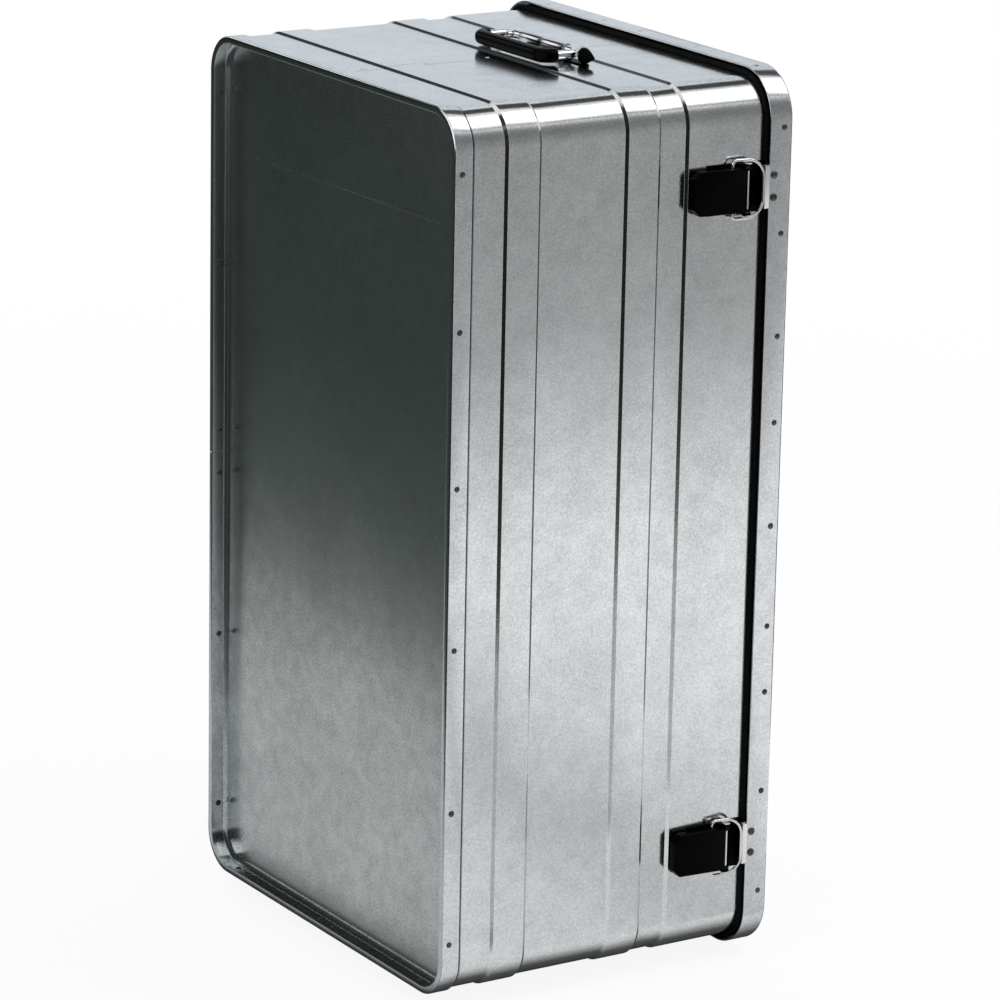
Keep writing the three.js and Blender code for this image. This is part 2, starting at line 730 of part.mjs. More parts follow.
// Round grip moulded over the ring's lower side and its two bends
function gripGeometry() {
  const axis = handleBarHeight - handleDrop;
  const out = gripRadius + overrun;
  const half = handleReach / 2 + out;
  const region = rectangle(handleBarRise - out, handleBarRise + out, axis - out, axis + gripRise);
  const sleeve = common(ringTube(gripRadius, gripSides), alongX(region, -half, half));
  return cut(sleeve, ringTube(handleWire / 2 + gripBoreClearance));
}

// Bracket that holds half of the hinge bar: a foot in the low band, a strap bent over the bar and a round pointed cap
// beside the ring
function bracketGeometry(end) {
  const tip = footSpan / 2;
  const heel = footGap / 2;
  const shoulder = tip - footTipLength;
  const wide = footWidth / 2;
  const narrow = footTipWidth / 2;
  const inner = fit - beadDepth;
  const outer = inner + footSheet;
  const z = handleBarHeight;
  const outline = [
    [z - wide, end * heel], [z - wide, end * shoulder], [z - narrow, end * tip],
    [z + narrow, end * tip], [z + wide, end * shoulder], [z + wide, end * heel],
  ];
  const radius = handleWire / 2 + strapClearance;
  const hoopAt = (reach, foot) => [
    [foot, z - reach], ...arc(handleBarRise, z, reach, -90, 90, strapSteps), [foot, z + reach],
  ];
  const between = (a, b) => [end * a, end * b].sort((first, second) => first - second);
  const strap = alongX(hoopAt(radius + strapSheet, outer - fit), ...between(heel, heel + strapWidth));
  const capStart = handleReach / 2 + handleWire / 2 + capGap;
  const capEnd = capStart + capLength;
  const cap = turnedX([[0, capStart], [capRadius, capStart], [capRadius, capEnd], [capPoint, tip], [0, tip]]
    .map(([reach, along]) => [reach, end * along])).translate(0, handleBarRise - capDrop, z);
  const neck = alongX(rectangle(outer - fit, handleBarRise - capDrop, z - capNeck / 2, z + capNeck / 2),
    ...between(capStart, capEnd));
  const saddle = cut(strap, alongX(hoopAt(radius, outer), -tip, tip));
  return joined(alongY(outline, inner, outer), saddle, cap, neck);
}

for (const [side, place, turn] of [['left', -1, 1], ['right', 1, -1]]) {
  const handle = new THREE.Group();
  handle.position.set(place * endFace, handleShift, 0);
  handle.rotation.z = (turn * Math.PI) / 2;
  addPiece(handle, `handle_${side}_bracket_1`, bracketGeometry(1), blackPaint);
  addPiece(handle, `handle_${side}_bracket_2`, bracketGeometry(-1), blackPaint);
  addPiece(handle, `handle_${side}_ring`, ringTube(handleWire / 2), steel);
  addPiece(handle, `handle_${side}_grip`, gripGeometry(), blackPaint);
  box.add(handle);
}

export default box;
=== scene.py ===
# %% [markdown]
# # An aluminium transport box
#
# The real box is one beaded aluminium sheet, wrapped round and closed by a seam on a short end. A folded profile
# stiffens its bottom edge, rubber trim caps its top edge, and a lid in a profile of its own hinges on the back.
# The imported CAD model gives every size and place, and Blender adds the fine shapes, rivets and finishes.

# %% Load the frame
import math

import bmesh
import bpy
from mathutils import Matrix, Vector


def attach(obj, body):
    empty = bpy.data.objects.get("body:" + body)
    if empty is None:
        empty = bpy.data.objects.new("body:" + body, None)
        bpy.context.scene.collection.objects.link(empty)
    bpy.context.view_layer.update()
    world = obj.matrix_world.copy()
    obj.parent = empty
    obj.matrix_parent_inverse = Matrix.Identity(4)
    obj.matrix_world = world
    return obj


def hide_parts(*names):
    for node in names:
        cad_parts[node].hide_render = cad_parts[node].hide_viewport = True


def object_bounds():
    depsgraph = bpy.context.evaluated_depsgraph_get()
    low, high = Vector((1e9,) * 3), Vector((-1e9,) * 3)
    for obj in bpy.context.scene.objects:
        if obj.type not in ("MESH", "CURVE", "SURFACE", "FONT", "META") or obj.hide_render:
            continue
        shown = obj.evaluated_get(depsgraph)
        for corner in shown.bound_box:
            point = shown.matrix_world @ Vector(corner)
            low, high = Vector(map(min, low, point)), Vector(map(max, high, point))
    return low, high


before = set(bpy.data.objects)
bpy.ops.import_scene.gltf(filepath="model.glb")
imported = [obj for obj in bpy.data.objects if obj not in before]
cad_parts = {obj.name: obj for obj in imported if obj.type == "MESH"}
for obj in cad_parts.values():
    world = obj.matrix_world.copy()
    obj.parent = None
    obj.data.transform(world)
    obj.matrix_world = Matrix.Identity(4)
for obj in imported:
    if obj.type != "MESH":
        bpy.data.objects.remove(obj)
cad_low, cad_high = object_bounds()
print("CAD box", [round(v, 4) for v in cad_high - cad_low])

# %% [markdown]
# ## Sizes
#
# The sizes are the model's own, in millimetres, and one factor turns them to metres where a mesh is made. "Out" is the
# distance out from the wall's raised bands, and heights count from the base rim.

# %% Sizes of the sheet-metal body
MM = 0.001

body_length, body_width, corner_radius = 800.0, 427.0, 36.0
sheet, fit = 1.2, 0.3
bead_depth, bead_run = 2.0, 3.0
lowest_level = -1
band_steps = [(52, 0), (86, -1), (174, 0), (208, -1), (236.5, 0)]   # height, then level in bead depths
base_rim, frame_band, frame_sheet, inner_leg = 0.0, 18.0, 1.6, 12.7
recess = 16.0
seal_edge, wall_top, skirt_edge, lid_top = 316.0, 324.0, 318.0, 342.0
shelf_under, lid_sheet, lid_overhang = 326.3, 1.6, 8.0
lid_flange, lid_shelf, raised_margin, raised_by = 20.0, 15.0, 30.0, 1.5
seam_place, seam_gap, strip_half, strip_sheet = -9.0, 0.6, 13.0, 1.0
bar_below_edge, bar_width, bar_sheet = 3.0, 25.0, 2.0
base_joint, lid_joint, joint_gap = -4.0, 60.0, 0.8
front, end = body_width / 2, body_length / 2
corner_steps, least_bend = 20, 12.0

# %% [markdown]
# ## Profiles and paths
#
# Every large piece is a profile carried round the same rounded rectangle, as such profiles are bent. A profile is a
# short list of corners, each with the radius of its fold, and one function turns the folds into arcs, so that edges
# catch the light as bent metal does.

# %% Round the folds of a profile
def softened(corners, closed=True, steps=4, share=0.48):
    """Points (out, height) of a profile given as (out, height, fold radius); share caps a fold's part of a side."""
    points = []
    count = len(corners)
    for i, (out, height, radius) in enumerate(corners):
        here = Vector((out, height))
        if radius == 0 or (not closed and i in (0, count - 1)):
            points.append((out, height))
            continue
        back = Vector(corners[i - 1][:2]) - here
        ahead = Vector(corners[(i + 1) % count][:2]) - here
        half_turn = back.angle(ahead) / 2
        reach = min(radius / math.tan(half_turn), back.length * share, ahead.length * share)
        bend = reach * math.tan(half_turn)
        middle = here + (back.normalized() + ahead.normalized()).normalized() * (bend / math.sin(half_turn))
        first = here + back.normalized() * reach - middle
        last = here + ahead.normalized() * reach - middle
        start = math.atan2(first.y, first.x)
        turn = (math.atan2(last.y, last.x) - start + math.pi) % (2 * math.pi) - math.pi
        for s in range(steps + 1):
            angle = start + turn * s / steps
            points.append((middle.x + bend * math.cos(angle), middle.y + bend * math.sin(angle)))
    return points


def arc_points(centre_a, centre_b, radius, start, stop, steps=12):
    """Points of an arc between two angles in degrees."""
    angles = [math.radians(start + (stop - start) * s / steps) for s in range(steps + 1)]
    return [(centre_a + radius * math.cos(a), centre_b + radius * math.sin(a)) for a in angles]


def wall_path(out=0.0, joint=None, gap=0.0):
    """The wall's outline, anticlockwise from above; joint opens it on the back (x) or on the left end (y)."""
    half_x, half_y = end + out, front + out
    radius = max(corner_radius + out, least_bend)
    x, y = half_x - radius, half_y - radius
    corners = [arc_points(sx * x, sy * y, radius, start, start + 90, corner_steps)
               for sx, sy, start in ((1, 1, 0), (-1, 1, 90), (-1, -1, 180), (1, -1, 270))]
    if joint is None:
        return [p for corner in corners for p in corner]
    side, place = joint
    if side == "back":
        order, first, last = (1, 2, 3, 0), (place - gap / 2, half_y), (place + gap / 2, half_y)
    else:
        order, first, last = (2, 3, 0, 1), (-half_x, place - gap / 2), (-half_x, place + gap / 2)
    return [first] + [p for i in order for p in corners[i]] + [last]


print("Outline points", len(wall_path()))

# %% [markdown]
# ## Carrying a profile along a path with Geometry Nodes
#
# A profile that follows a path is a rule, so a small node tree does it: path and profile become curves, and Curve to
# Mesh carries one along the other. The path's normals are kept level, so the profile never twists.

# %% Helpers for nodes
def add_node(tree, kind, settings=None, links=None):
    """Adds a node, sets its properties and inputs, and links its inputs to other sockets."""
    node = tree.nodes.new(kind)
    for name, value in (settings or {}).items():
        if isinstance(name, str) and hasattr(node, name):
            setattr(node, name, value)
        else:
            node.inputs[name].default_value = value
    for name, source in (links or {}).items():
        tree.links.new(source, node.inputs[name])
    return node


def begun_tree(name, inputs):
    """A geometry node tree with these input sockets and one output, and its input node."""
    tree = bpy.data.node_groups.new(name, "GeometryNodeTree")
    for socket, kind in inputs:
        tree.interface.new_socket(socket, in_out="INPUT", socket_type="NodeSocket" + kind)
    tree.interface.new_socket("Piece", in_out="OUTPUT", socket_type="NodeSocketGeometry")
    return tree, add_node(tree, "NodeGroupInput")


def ended_tree(tree, given, source):
    """Makes a tree's instances real, sets their material and leads them out."""
    real = add_node(tree, "GeometryNodeRealizeInstances", links={"Geometry": source})
    finish = add_node(tree, "GeometryNodeSetMaterial", links={
        "Geometry": real.outputs["Geometry"], "Material": given.outputs["Finish"]})
    add_node(tree, "NodeGroupOutput", links={"Piece": finish.outputs["Geometry"]})
    return tree


# %% The sweeping tree
def sweep_tree():
    """Carries a profile along a path, and closes its ends where that is asked."""
    tree, given = begun_tree("Profile along a path", [("Path", "Geometry"), ("Profile", "Object"),
                                                      ("Close the Ends", "Bool"), ("Finish", "Material")])
    path = add_node(tree, "GeometryNodeMeshToCurve", links={"Mesh": given.outputs["Path"]})
    level = add_node(tree, "GeometryNodeSetCurveNormal", {"mode": "Z_UP"}, {"Curve": path.outputs["Curve"]})
    info = add_node(tree, "GeometryNodeObjectInfo", links={"Object": given.outputs["Profile"]})
    profile = add_node(tree, "GeometryNodeMeshToCurve", links={"Mesh": info.outputs["Geometry"]})
    swept_mesh = add_node(tree, "GeometryNodeCurveToMesh", links={
        "Curve": level.outputs["Curve"], "Profile Curve": profile.outputs["Curve"],
        "Fill Caps": given.outputs["Close the Ends"]})
    return ended_tree(tree, given, swept_mesh.outputs["Mesh"])


sweeping = sweep_tree()
print("Sweeping tree:", len(sweeping.nodes), "nodes")


# %% Make objects
def linked(name, data):
    """A new object on this data, in the scene."""
    made = bpy.data.objects.new(name, data)
    bpy.context.scene.collection.objects.link(made)
    return made


def from_bmesh(name, work, finish):
    """An object from a bmesh, in one material."""
    mesh = bpy.data.meshes.new(name)
    work.to_mesh(mesh)
    work.free()
    mesh.materials.append(finish)
    return linked(name, mesh)


def lofted(name, sections, finish):
    """Closed shell through rings of points in millimetres, its first and last ring filled flat."""
    work = bmesh.new()
    loops = [[work.verts.new(Vector(p) * MM) for p in ring] for ring in sections]
    for low, high in zip(loops, loops[1:]):
        for i in range(len(low)):
            j = (i + 1) % len(low)
            work.faces.new((low[i], low[j], high[j], high[i]))
    work.faces.new(loops[0])
    work.faces.new(loops[-1])
    return from_bmesh(name, work, finish)


def line_object(name, points, closed):
    """A chain of edges through points in millimetres, as an object in metres."""
    mesh = bpy.data.meshes.new(name)
    count = len(points)
    edges = [(i, (i + 1) % count) for i in range(count if closed else count - 1)]
    mesh.from_pydata([Vector(p) * MM for p in points], edges, [])
    return linked(name, mesh)


def plain_mesh(made, name):
    """The evaluated object's mesh, as a new object at the origin; the old object goes."""
    bpy.context.view_layer.update()
    graph = bpy.context.evaluated_depsgraph_get()
    mesh = bpy.data.meshes.new_from_object(made.evaluated_get(graph), depsgraph=graph)
    mesh.name = name
    piece = linked(name, mesh)
    bpy.data.objects.remove(made)
    return piece


def run_tree(host, tree, name, values):
    """The plain mesh of an object after a node tree, whose inputs are set by their identifiers."""
    modifier = host.modifiers.new(tree.name, "NODES")
    modifier.node_group = tree
    for item in tree.interface.items_tree:
        if item.item_type == "SOCKET" and item.in_out == "INPUT" and item.name in values:
            modifier[item.identifier] = values[item.name]
    return plain_mesh(host, name)


# %% Finish and place pieces
def tidy_shell(piece, smooth=35, bevel=0.0, segments=2):
    """Merges doubles, turns faces out, bevels sharp edges by a width in mm, and smooths what is round."""
    work = bmesh.new()
    work.from_mesh(piece.data)
    bmesh.ops.remove_doubles(work, verts=work.verts, dist=2e-6)
    bmesh.ops.recalc_face_normals(work, faces=work.faces)
    if bevel:
        flat, sharper_than = math.radians(1), math.radians(38)
        bmesh.ops.dissolve_limit(work, angle_limit=flat, verts=work.verts, edges=work.edges)
        sharp = [e for e in work.edges if len(e.link_faces) == 2 and e.calc_face_angle(0) > sharper_than]
        bmesh.ops.bevel(work, geom=sharp, offset=bevel * MM, offset_type="OFFSET", segments=segments, profile=0.6,
                        affect="EDGES", clamp_overlap=True)
    for face in work.faces:
        face.smooth = True
    work.to_mesh(piece.data)
    work.free()
    piece.data.set_sharp_from_angle(angle=math.radians(smooth))
    return piece


def place_piece(piece, body, nodes):
    """Lets a finished piece ride on its body, in place of its CAD nodes."""
    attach(piece, body)
    if nodes:
        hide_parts(*nodes)
    print(f"{piece.name}: {len(piece.data.polygons)} faces")
    return piece


def swept(name, path, profile, finish, closed_path=True):
    """Carries a closed profile of (out, height) points along a path of (x, y) points."""
    host = line_object(name + "_path", [(x, y, 0) for x, y in path], closed_path)
    section = line_object(name + "_profile", [(out, -height, 0) for out, height in profile], True)
    piece = run_tree(host, sweeping, name, {"Profile": section, "Close the Ends": not closed_path, "Finish": finish})
    bpy.data.objects.remove(section)
    return tidy_shell(piece)


# %% [markdown]
# ## Finishes
#
# Colours are sRGB hex values, as a picker shows them, and one function turns them to Blender's linear values. Patterns
# read Object coordinates, so they stay on a piece that moves, and their scales come from sizes in millimetres.

# %% Colour and pattern helpers
def linear(hex_colour):
    """An sRGB hex colour as linear values."""
    parts = [int(hex_colour[i:i + 2], 16) / 255 for i in (1, 3, 5)]
    return [c / 12.92 if c <= 0.04045 else ((c + 0.055) / 1.055) ** 2.4 for c in parts] + [1.0]


def new_finish(name, colour, metallic, roughness, **more):
    """A material with a Principled shader whose even values sit on its own sockets."""
    material = bpy.data.materials.new(name)
    material.use_nodes = True
    shader = material.node_tree.nodes["Principled BSDF"]
    shader.inputs["Base Color"].default_value = linear(colour)
    shader.inputs["Metallic"].default_value = metallic
    shader.inputs["Roughness"].default_value = roughness
    for socket, value in more.items():
        shader.inputs[socket.replace("_", " ")].default_value = value
    print("Finish:", name)
    return material, material.node_tree, shader


def object_pattern(tree, spot_mm, detail=3.0):
    """Noise on Object coordinates, whose scale gives spots of about a real size."""
    where = add_node(tree, "ShaderNodeTexCoord")
    return add_node(tree, "ShaderNodeTexNoise", {"Scale": 1 / (spot_mm * MM), "Detail": detail, "Roughness": 0.6},
                    {"Vector": where.outputs["Object"]}).outputs["Fac"]


noise_low, noise_high = 0.3, 0.7   # a noise pattern's usual values

# %% [markdown]
# ### Mill-finish aluminium sheet
#
# The wall and panels are rolled aluminium left as it comes from the mill: a satin metal with a fine speckle, broad
# cloudy changes of gloss, and a slight waviness that bends reflections. The real speckle is finer than a pixel, so it
# is drawn about 2 mm wide. Painted shade darkens the wall in a thin line where it comes out of the base profile, and
# one long faint scratch crosses the base.

# %% Painted shade at the joint, and a scratch
# Painted shade: heights above the profile's edge where the dark line is full and where it is gone, in mm
shade_full, shade_gone = 1.6, 3.2
scratch_place, scratch_slope, scratch_core, scratch_edge = -292.2, 0.0075, 0.2, 0.7
scratch_fades, scratch_ends, scratch_breaks, scratch_dulls = 140.0, 176.0, 30.0, 0.13


def object_axes(tree):
    """The three Object coordinates, as sockets."""
    where = add_node(tree, "ShaderNodeTexCoord")
    return add_node(tree, "ShaderNodeSeparateXYZ", links={"Vector": where.outputs["Object"]}).outputs


def painted_joint_shade(tree, colour, height):
    """A colour that darkens just above the edge of a profile: painted shade along the joint."""
    near = add_node(tree, "ShaderNodeMapRange",
                    {"From Min": (height + shade_full) * MM, "From Max": (height + shade_gone) * MM,
                     "To Min": 1.0, "To Max": 0.0}, {"Value": object_axes(tree)["Z"]})
    # Painted shade: the dark colour the wall turns to just above the joint
    mix = add_node(tree, "ShaderNodeMix", {"data_type": "RGBA", 7: linear("#26292A")},
                   {0: near.outputs["Result"], 6: colour})
    return mix.outputs[2]


def scratch_mask(tree):
    """One long fine scratch across the base: 1 on the line and 0 off it, weaker in places along its length."""
    axes = object_axes(tree)
    off = add_node(tree, "ShaderNodeMath", {"operation": "MULTIPLY_ADD", 1: -scratch_slope, 2: -scratch_place * MM},
                   {0: axes["Y"]})
    away = add_node(tree, "ShaderNodeMath", {"operation": "ADD"}, {0: axes["X"], 1: off.outputs["Value"]})
    size = add_node(tree, "ShaderNodeMath", {"operation": "ABSOLUTE"}, {0: away.outputs["Value"]})
    line = add_node(tree, "ShaderNodeMapRange",
                    {"From Min": scratch_core * MM, "From Max": scratch_edge * MM, "To Min": 1.0, "To Max": 0.0},
                    {"Value": size.outputs["Value"]})
    there = add_node(tree, "ShaderNodeMapRange", {"From Min": 0.42, "From Max": 0.6, "To Min": 0.45},
                     {"Value": object_pattern(tree, scratch_breaks, detail=2.0)})
    marked = add_node(tree, "ShaderNodeMath", {"operation": "MULTIPLY"},
                      {0: line.outputs["Result"], 1: there.outputs["Result"]})
    along = add_node(tree, "ShaderNodeMath", {"operation": "ABSOLUTE"}, {0: axes["Y"]})
    ends = add_node(tree, "ShaderNodeMapRange",
                    {"From Min": scratch_fades * MM, "From Max": scratch_ends * MM, "To Min": 1.0, "To Max": 0.0},
                    {"Value": along.outputs["Value"]})
    mask = add_node(tree, "ShaderNodeMath", {"operation": "MULTIPLY"},
                    {0: marked.outputs["Value"], 1: ends.outputs["Result"]})
    return mask.outputs["Value"]


# %% Aluminium finishes
speckle_mm, patch_mm, cloud_mm, ripple_mm = 2.0, 17, 110, 150
ripple_height, speckle_height = 3.0, 0.2
sum_low, sum_high, gloss_swing = 0.6, 1.15, 0.04   # usual range of the summed patterns, and how far gloss follows it


def aluminium(name, light, dark, roughness, wave=0.25, speckle=0.2, joint=None, scratched=False):
    """Bare aluminium: speckle, patches and clouds in colour and gloss, on a slightly wavy surface."""
    material, tree, shader = new_finish(name, light, 1.0, roughness)
    fine = object_pattern(tree, speckle_mm, detail=3.0)
    patch = object_pattern(tree, patch_mm, detail=3.0)
    cloud = object_pattern(tree, cloud_mm, detail=2.0)
    some = add_node(tree, "ShaderNodeMath", {"operation": "MULTIPLY_ADD", 1: 0.45},
                    {0: patch, 2: fine})
    both = add_node(tree, "ShaderNodeMath", {"operation": "MULTIPLY_ADD", 1: 0.3},
                    {0: cloud, 2: some.outputs["Value"]})
    share = add_node(tree, "ShaderNodeMapRange", {"From Min": sum_low, "From Max": sum_high},
                     {"Value": both.outputs["Value"]})
    colour = add_node(tree, "ShaderNodeMix", {"data_type": "RGBA", 6: linear(dark), 7: linear(light)},
                      {0: share.outputs["Result"]}).outputs[2]
    # Painted shade: a thin dark line just above the base profile's edge
    if joint is not None:
        colour = painted_joint_shade(tree, colour, joint)
    tree.links.new(colour, shader.inputs["Base Color"])
    gloss = add_node(tree, "ShaderNodeMapRange",
                     {"From Min": sum_low, "From Max": sum_high, "To Min": roughness + gloss_swing,
                      "To Max": roughness - gloss_swing}, {"Value": both.outputs["Value"]}).outputs["Result"]
    if scratched:
        gloss = add_node(tree, "ShaderNodeMath", {"operation": "MULTIPLY_ADD", 1: scratch_dulls},
                         {0: scratch_mask(tree), 2: gloss}).outputs["Value"]
    tree.links.new(gloss, shader.inputs["Roughness"])
    ripple = object_pattern(tree, ripple_mm, detail=1.0)
    wavy = add_node(tree, "ShaderNodeBump", {"Strength": wave, "Distance": ripple_height * MM},
                    {"Height": ripple})
    grit = add_node(tree, "ShaderNodeBump", {"Strength": speckle, "Distance": speckle_height * MM},
                    {"Height": fine, "Normal": wavy.outputs["Normal"]})
    tree.links.new(grit.outputs["Normal"], shader.inputs["Normal"])
    return material


# The wall's finish carries the painted shade line above the base profile
wall_finish = aluminium("mill_aluminium_wall", "#E8EBEC", "#BEC1C2", 0.13, joint=frame_band)
panel_finish = aluminium("mill_aluminium_lid_panel", "#E6EBE6", "#A2A8A2", 0.24, speckle=0.12)
base_finish = aluminium("mill_aluminium_base_panel", "#E4EAEA", "#A2A9A9", 0.24, speckle=0.09, scratched=True)
profile_finish = aluminium("extruded_aluminium", "#E6E9EC", "#BABDC0", 0.16, wave=0.08, speckle=0.02)

# %% [markdown]
# ### Plated steel, black coating, moulded plastic and rubber
#
# The small fittings are zinc-plated steel, which is grey and blurs what it mirrors. The handle rings are bright plated
# and mirror sharply. The levers and brackets have a black coating with a faint orange-peel texture, the grips are
# moulded plastic, black and a little glossier, and the rim trim is rubber, which is dull.

# %% Finishes of the fittings
broad_spots, coat_swing, coat_height = 14, 0.06, 0.2   # times the spot size, change of roughness, bump in mm


def coated(name, dark, light, roughness, spot_mm, bump, metallic=0.0, **more):
    """A plated, coated or moulded finish: a fine skin, and broad faint changes of colour and gloss."""
    material, tree, shader = new_finish(name, dark, metallic, roughness, **more)
    spots = object_pattern(tree, spot_mm)
    broad = object_pattern(tree, spot_mm * broad_spots, detail=2.0)
    share = add_node(tree, "ShaderNodeMapRange", {"From Min": noise_low, "From Max": noise_high}, {"Value": broad})
    colour = add_node(tree, "ShaderNodeMix", {"data_type": "RGBA", 6: linear(dark), 7: linear(light)},
                      {0: share.outputs["Result"]})
    tree.links.new(colour.outputs[2], shader.inputs["Base Color"])
    gloss = add_node(tree, "ShaderNodeMapRange",
                     {"From Min": noise_low, "From Max": noise_high, "To Min": roughness - coat_swing,
                      "To Max": roughness + coat_swing}, {"Value": broad})
    tree.links.new(gloss.outputs["Result"], shader.inputs["Roughness"])
    skin = add_node(tree, "ShaderNodeBump", {"Strength": bump, "Distance": coat_height * MM}, {"Height": spots})
    tree.links.new(skin.outputs["Normal"], shader.inputs["Normal"])
    return material


zinc_finish = coated("zinc_plated_steel", "#C2C3C0", "#D6D6D2", 0.3, 1.5, 0.1, metallic=1.0)
bright_finish = coated("bright_plated_steel", "#D6D8DA", "#E4E6E8", 0.14, 2.0, 0.04, metallic=1.0)
strap_finish = coated("plated_steel_strip", "#D2D4D6", "#E0E2E4", 0.18, 2.0, 0.05, metallic=1.0)
# Painted shade: rivets on the sides get a dark colour standing in for the dark they reflect there; the same rivets on
# the ends stay pale
rivet_painted_dark_finish = coated("blind_rivet_painted_dark", "#46484A", "#606264", 0.34, 1.2, 0.1, metallic=1.0)
pale_rivet_finish = coated("aluminium_rivet", "#C9CBCD", "#DADCDE", 0.26, 1.2, 0.1, metallic=1.0)
# Painted highlight: the catch is coloured lighter than the other zinc fittings, standing in for the light its curved
# lip would catch; its roughness is its own
catch_painted_light_finish = coated("zinc_catch_painted_light", "#EDEEEA", "#F6F6F2", 0.42, 1.5, 0.1, metallic=1.0)
black_finish = coated("black_coated_steel", "#010101", "#030303", 0.36, 1.4, 0.12, Specular_IOR_Level=0.03)
grip_finish = coated("black_moulded_plastic", "#010101", "#030303", 0.3, 1.2, 0.15, Specular_IOR_Level=0.04)
rubber_finish = coated("black_rubber", "#020202", "#060606", 0.6, 1.0, 0.2, Specular_IOR_Level=0.1)

# %% [markdown]
# ## The body
#
# The beaded wall is drawn as a closed profile 1.2 mm thick. Its steps are folds about 3 mm high with soft edges. The
# seam stays open by a hair, with a strip behind it, as on the real wall.

# %% Beaded wall
def bead_line(bottom, top, out):
    """The wall's line up through its bands, with folds, moved out by a distance."""
    level = lowest_level
    line = [(level * bead_depth + out, bottom, 0)]
    for height, following in band_steps:
        line.append((level * bead_depth + out, height - bead_run / 2, 0.9))
        line.append((following * bead_depth + out, height + bead_run / 2, 0.9))
        level = following
    line.append((level * bead_depth + out, top, 0))
    return line


def sheet_strip(bottom, top, out, thick):
    """Closed profile of a beaded sheet between two heights."""
    outer = softened(bead_line(bottom, top, out), closed=False, steps=5)
    inner = softened(bead_line(bottom, top, out - thick), closed=False, steps=5)
    return outer + inner[::-1]


wall_line = wall_path(joint=("left end", seam_place), gap=seam_gap)
wall_strip = sheet_strip(frame_sheet + fit, wall_top, 0, sheet)
place_piece(swept("wall", wall_line, wall_strip, wall_finish, closed_path=False), "case", ["body_wall"])

bar_top = seal_edge - bar_below_edge
bar_foot = bar_top - bar_width
strip = swept("seam_strip", [(-end, seam_place + strip_half), (-end, seam_place - strip_half)],
              sheet_strip(recess + sheet + fit, bar_foot - fit, -sheet - fit, strip_sheet), wall_finish,
              closed_path=False)
place_piece(strip, "case", ["wall_seam_strip"])

# %% [markdown]
# The bottom profile is U-shaped and butted on the back. The rim band is a flat bar inside the top edge, and the rubber
# trim is pushed over that edge from above.

# %% Base profile, rim band and rubber trim
inner_out = -(bead_depth + sheet + fit + sheet + fit)
inner_in = inner_out - frame_sheet
frame_profile = softened([
    (0, base_rim, 1.4), (0, frame_band, 0.78), (-frame_sheet, frame_band, 0.3), (-frame_sheet, frame_sheet, 0.6),
    (inner_out, frame_sheet, 0.6), (inner_out, inner_leg, 0.4), (inner_in, inner_leg, 0.5), (inner_in, base_rim, 0.6),
])
base_profile = swept("base_profile", wall_path(joint=("back", base_joint), gap=joint_gap), frame_profile,
                     profile_finish, closed_path=False)
place_piece(base_profile, "case", ["base_frame"])

band_out = -(sheet + fit)
band_profile = softened([(band_out, bar_foot, 0.4), (band_out, bar_top, 0.4),
                         (band_out - bar_sheet, bar_top, 0.5), (band_out - bar_sheet, bar_foot, 0.5)])
place_piece(swept("rim_bar", wall_path(), band_profile, wall_finish), "case", ["rim_band"])

trim_crown, trim_outside, trim_inside = 1.7, 4.0, 3.0   # thickness of the rubber on top, outside and inside
trim_top, trim_out, trim_in = wall_top + fit + trim_crown, fit + trim_outside, band_out - trim_inside
trim_profile = softened([
    (fit, seal_edge, 0.3), (trim_out, seal_edge, 1.2), (trim_out, trim_top, 1.2), (trim_in, trim_top, 1.2),
    (trim_in, seal_edge, 1.0), (band_out, seal_edge, 0.3), (band_out, wall_top + fit, 0), (fit, wall_top + fit, 0),
])
place_piece(swept("rubber_trim", wall_path(), trim_profile, rubber_finish), "case", ["rim_seal"])

# %% [markdown]
# The base panel is a shallow tray pressed up inside the profile. It is built from rings that shrink inwards, and the
# last ring on each side is filled.

# %% Trays: the base panel and the lid panel
def tray(name, rings, finish):
    """Closed tray from a chain of (out, height) rings."""
    return tidy_shell(lofted(name, [[(x, y, height) for x, y in wall_path(out)] for out, height in rings], finish))


tray_out, tray_roll = -(bead_depth + sheet + fit), 24
tray_top, tray_foot, tray_flat = recess + sheet, frame_sheet + fit, tray_out - tray_roll
base_rings = softened([
    (tray_flat, tray_top, 0), (tray_out, tray_top, 9.2), (tray_out, tray_foot, 0.3),
    (tray_out - sheet, tray_foot, 0.3), (tray_out - sheet, recess, 8.0), (tray_flat, recess, 0),
], closed=False, steps=10, share=0.8)
place_piece(tray("base_tray", base_rings, base_finish), "case", ["base_panel"])

# %% [markdown]
# ## The lid
#
# The lid's profile has a deep skirt that hangs over the wall, a shelf that presses on the rubber, and a flange over the
# panel. The panel is a tray with a slightly raised field, which keeps a thin sheet from drumming.

# %% Lid profile and lid panel
skirt_in = lid_overhang - lid_sheet
flange_in, shelf_in = lid_overhang - lid_flange, lid_overhang - lid_shelf
flange_under, shelf_top = lid_top - lid_sheet, shelf_under + lid_sheet
lid_profile = softened([
    (lid_overhang, skirt_edge, 0.5), (lid_overhang, lid_top, 3.0), (flange_in, lid_top, 0.4),
    (flange_in, flange_under, 0.4), (skirt_in, flange_under, 1.4), (skirt_in, shelf_top, 0.3),
    (shelf_in, shelf_top, 0.4), (shelf_in, shelf_under, 0.4), (skirt_in, shelf_under, 0.3), (skirt_in, skirt_edge, 0.5),
], steps=5)
lid_ring = swept("lid_profile", wall_path(joint=("back", lid_joint), gap=joint_gap), lid_profile, profile_finish,
                 closed_path=False)
place_piece(lid_ring, "lid", ["lid_frame"])

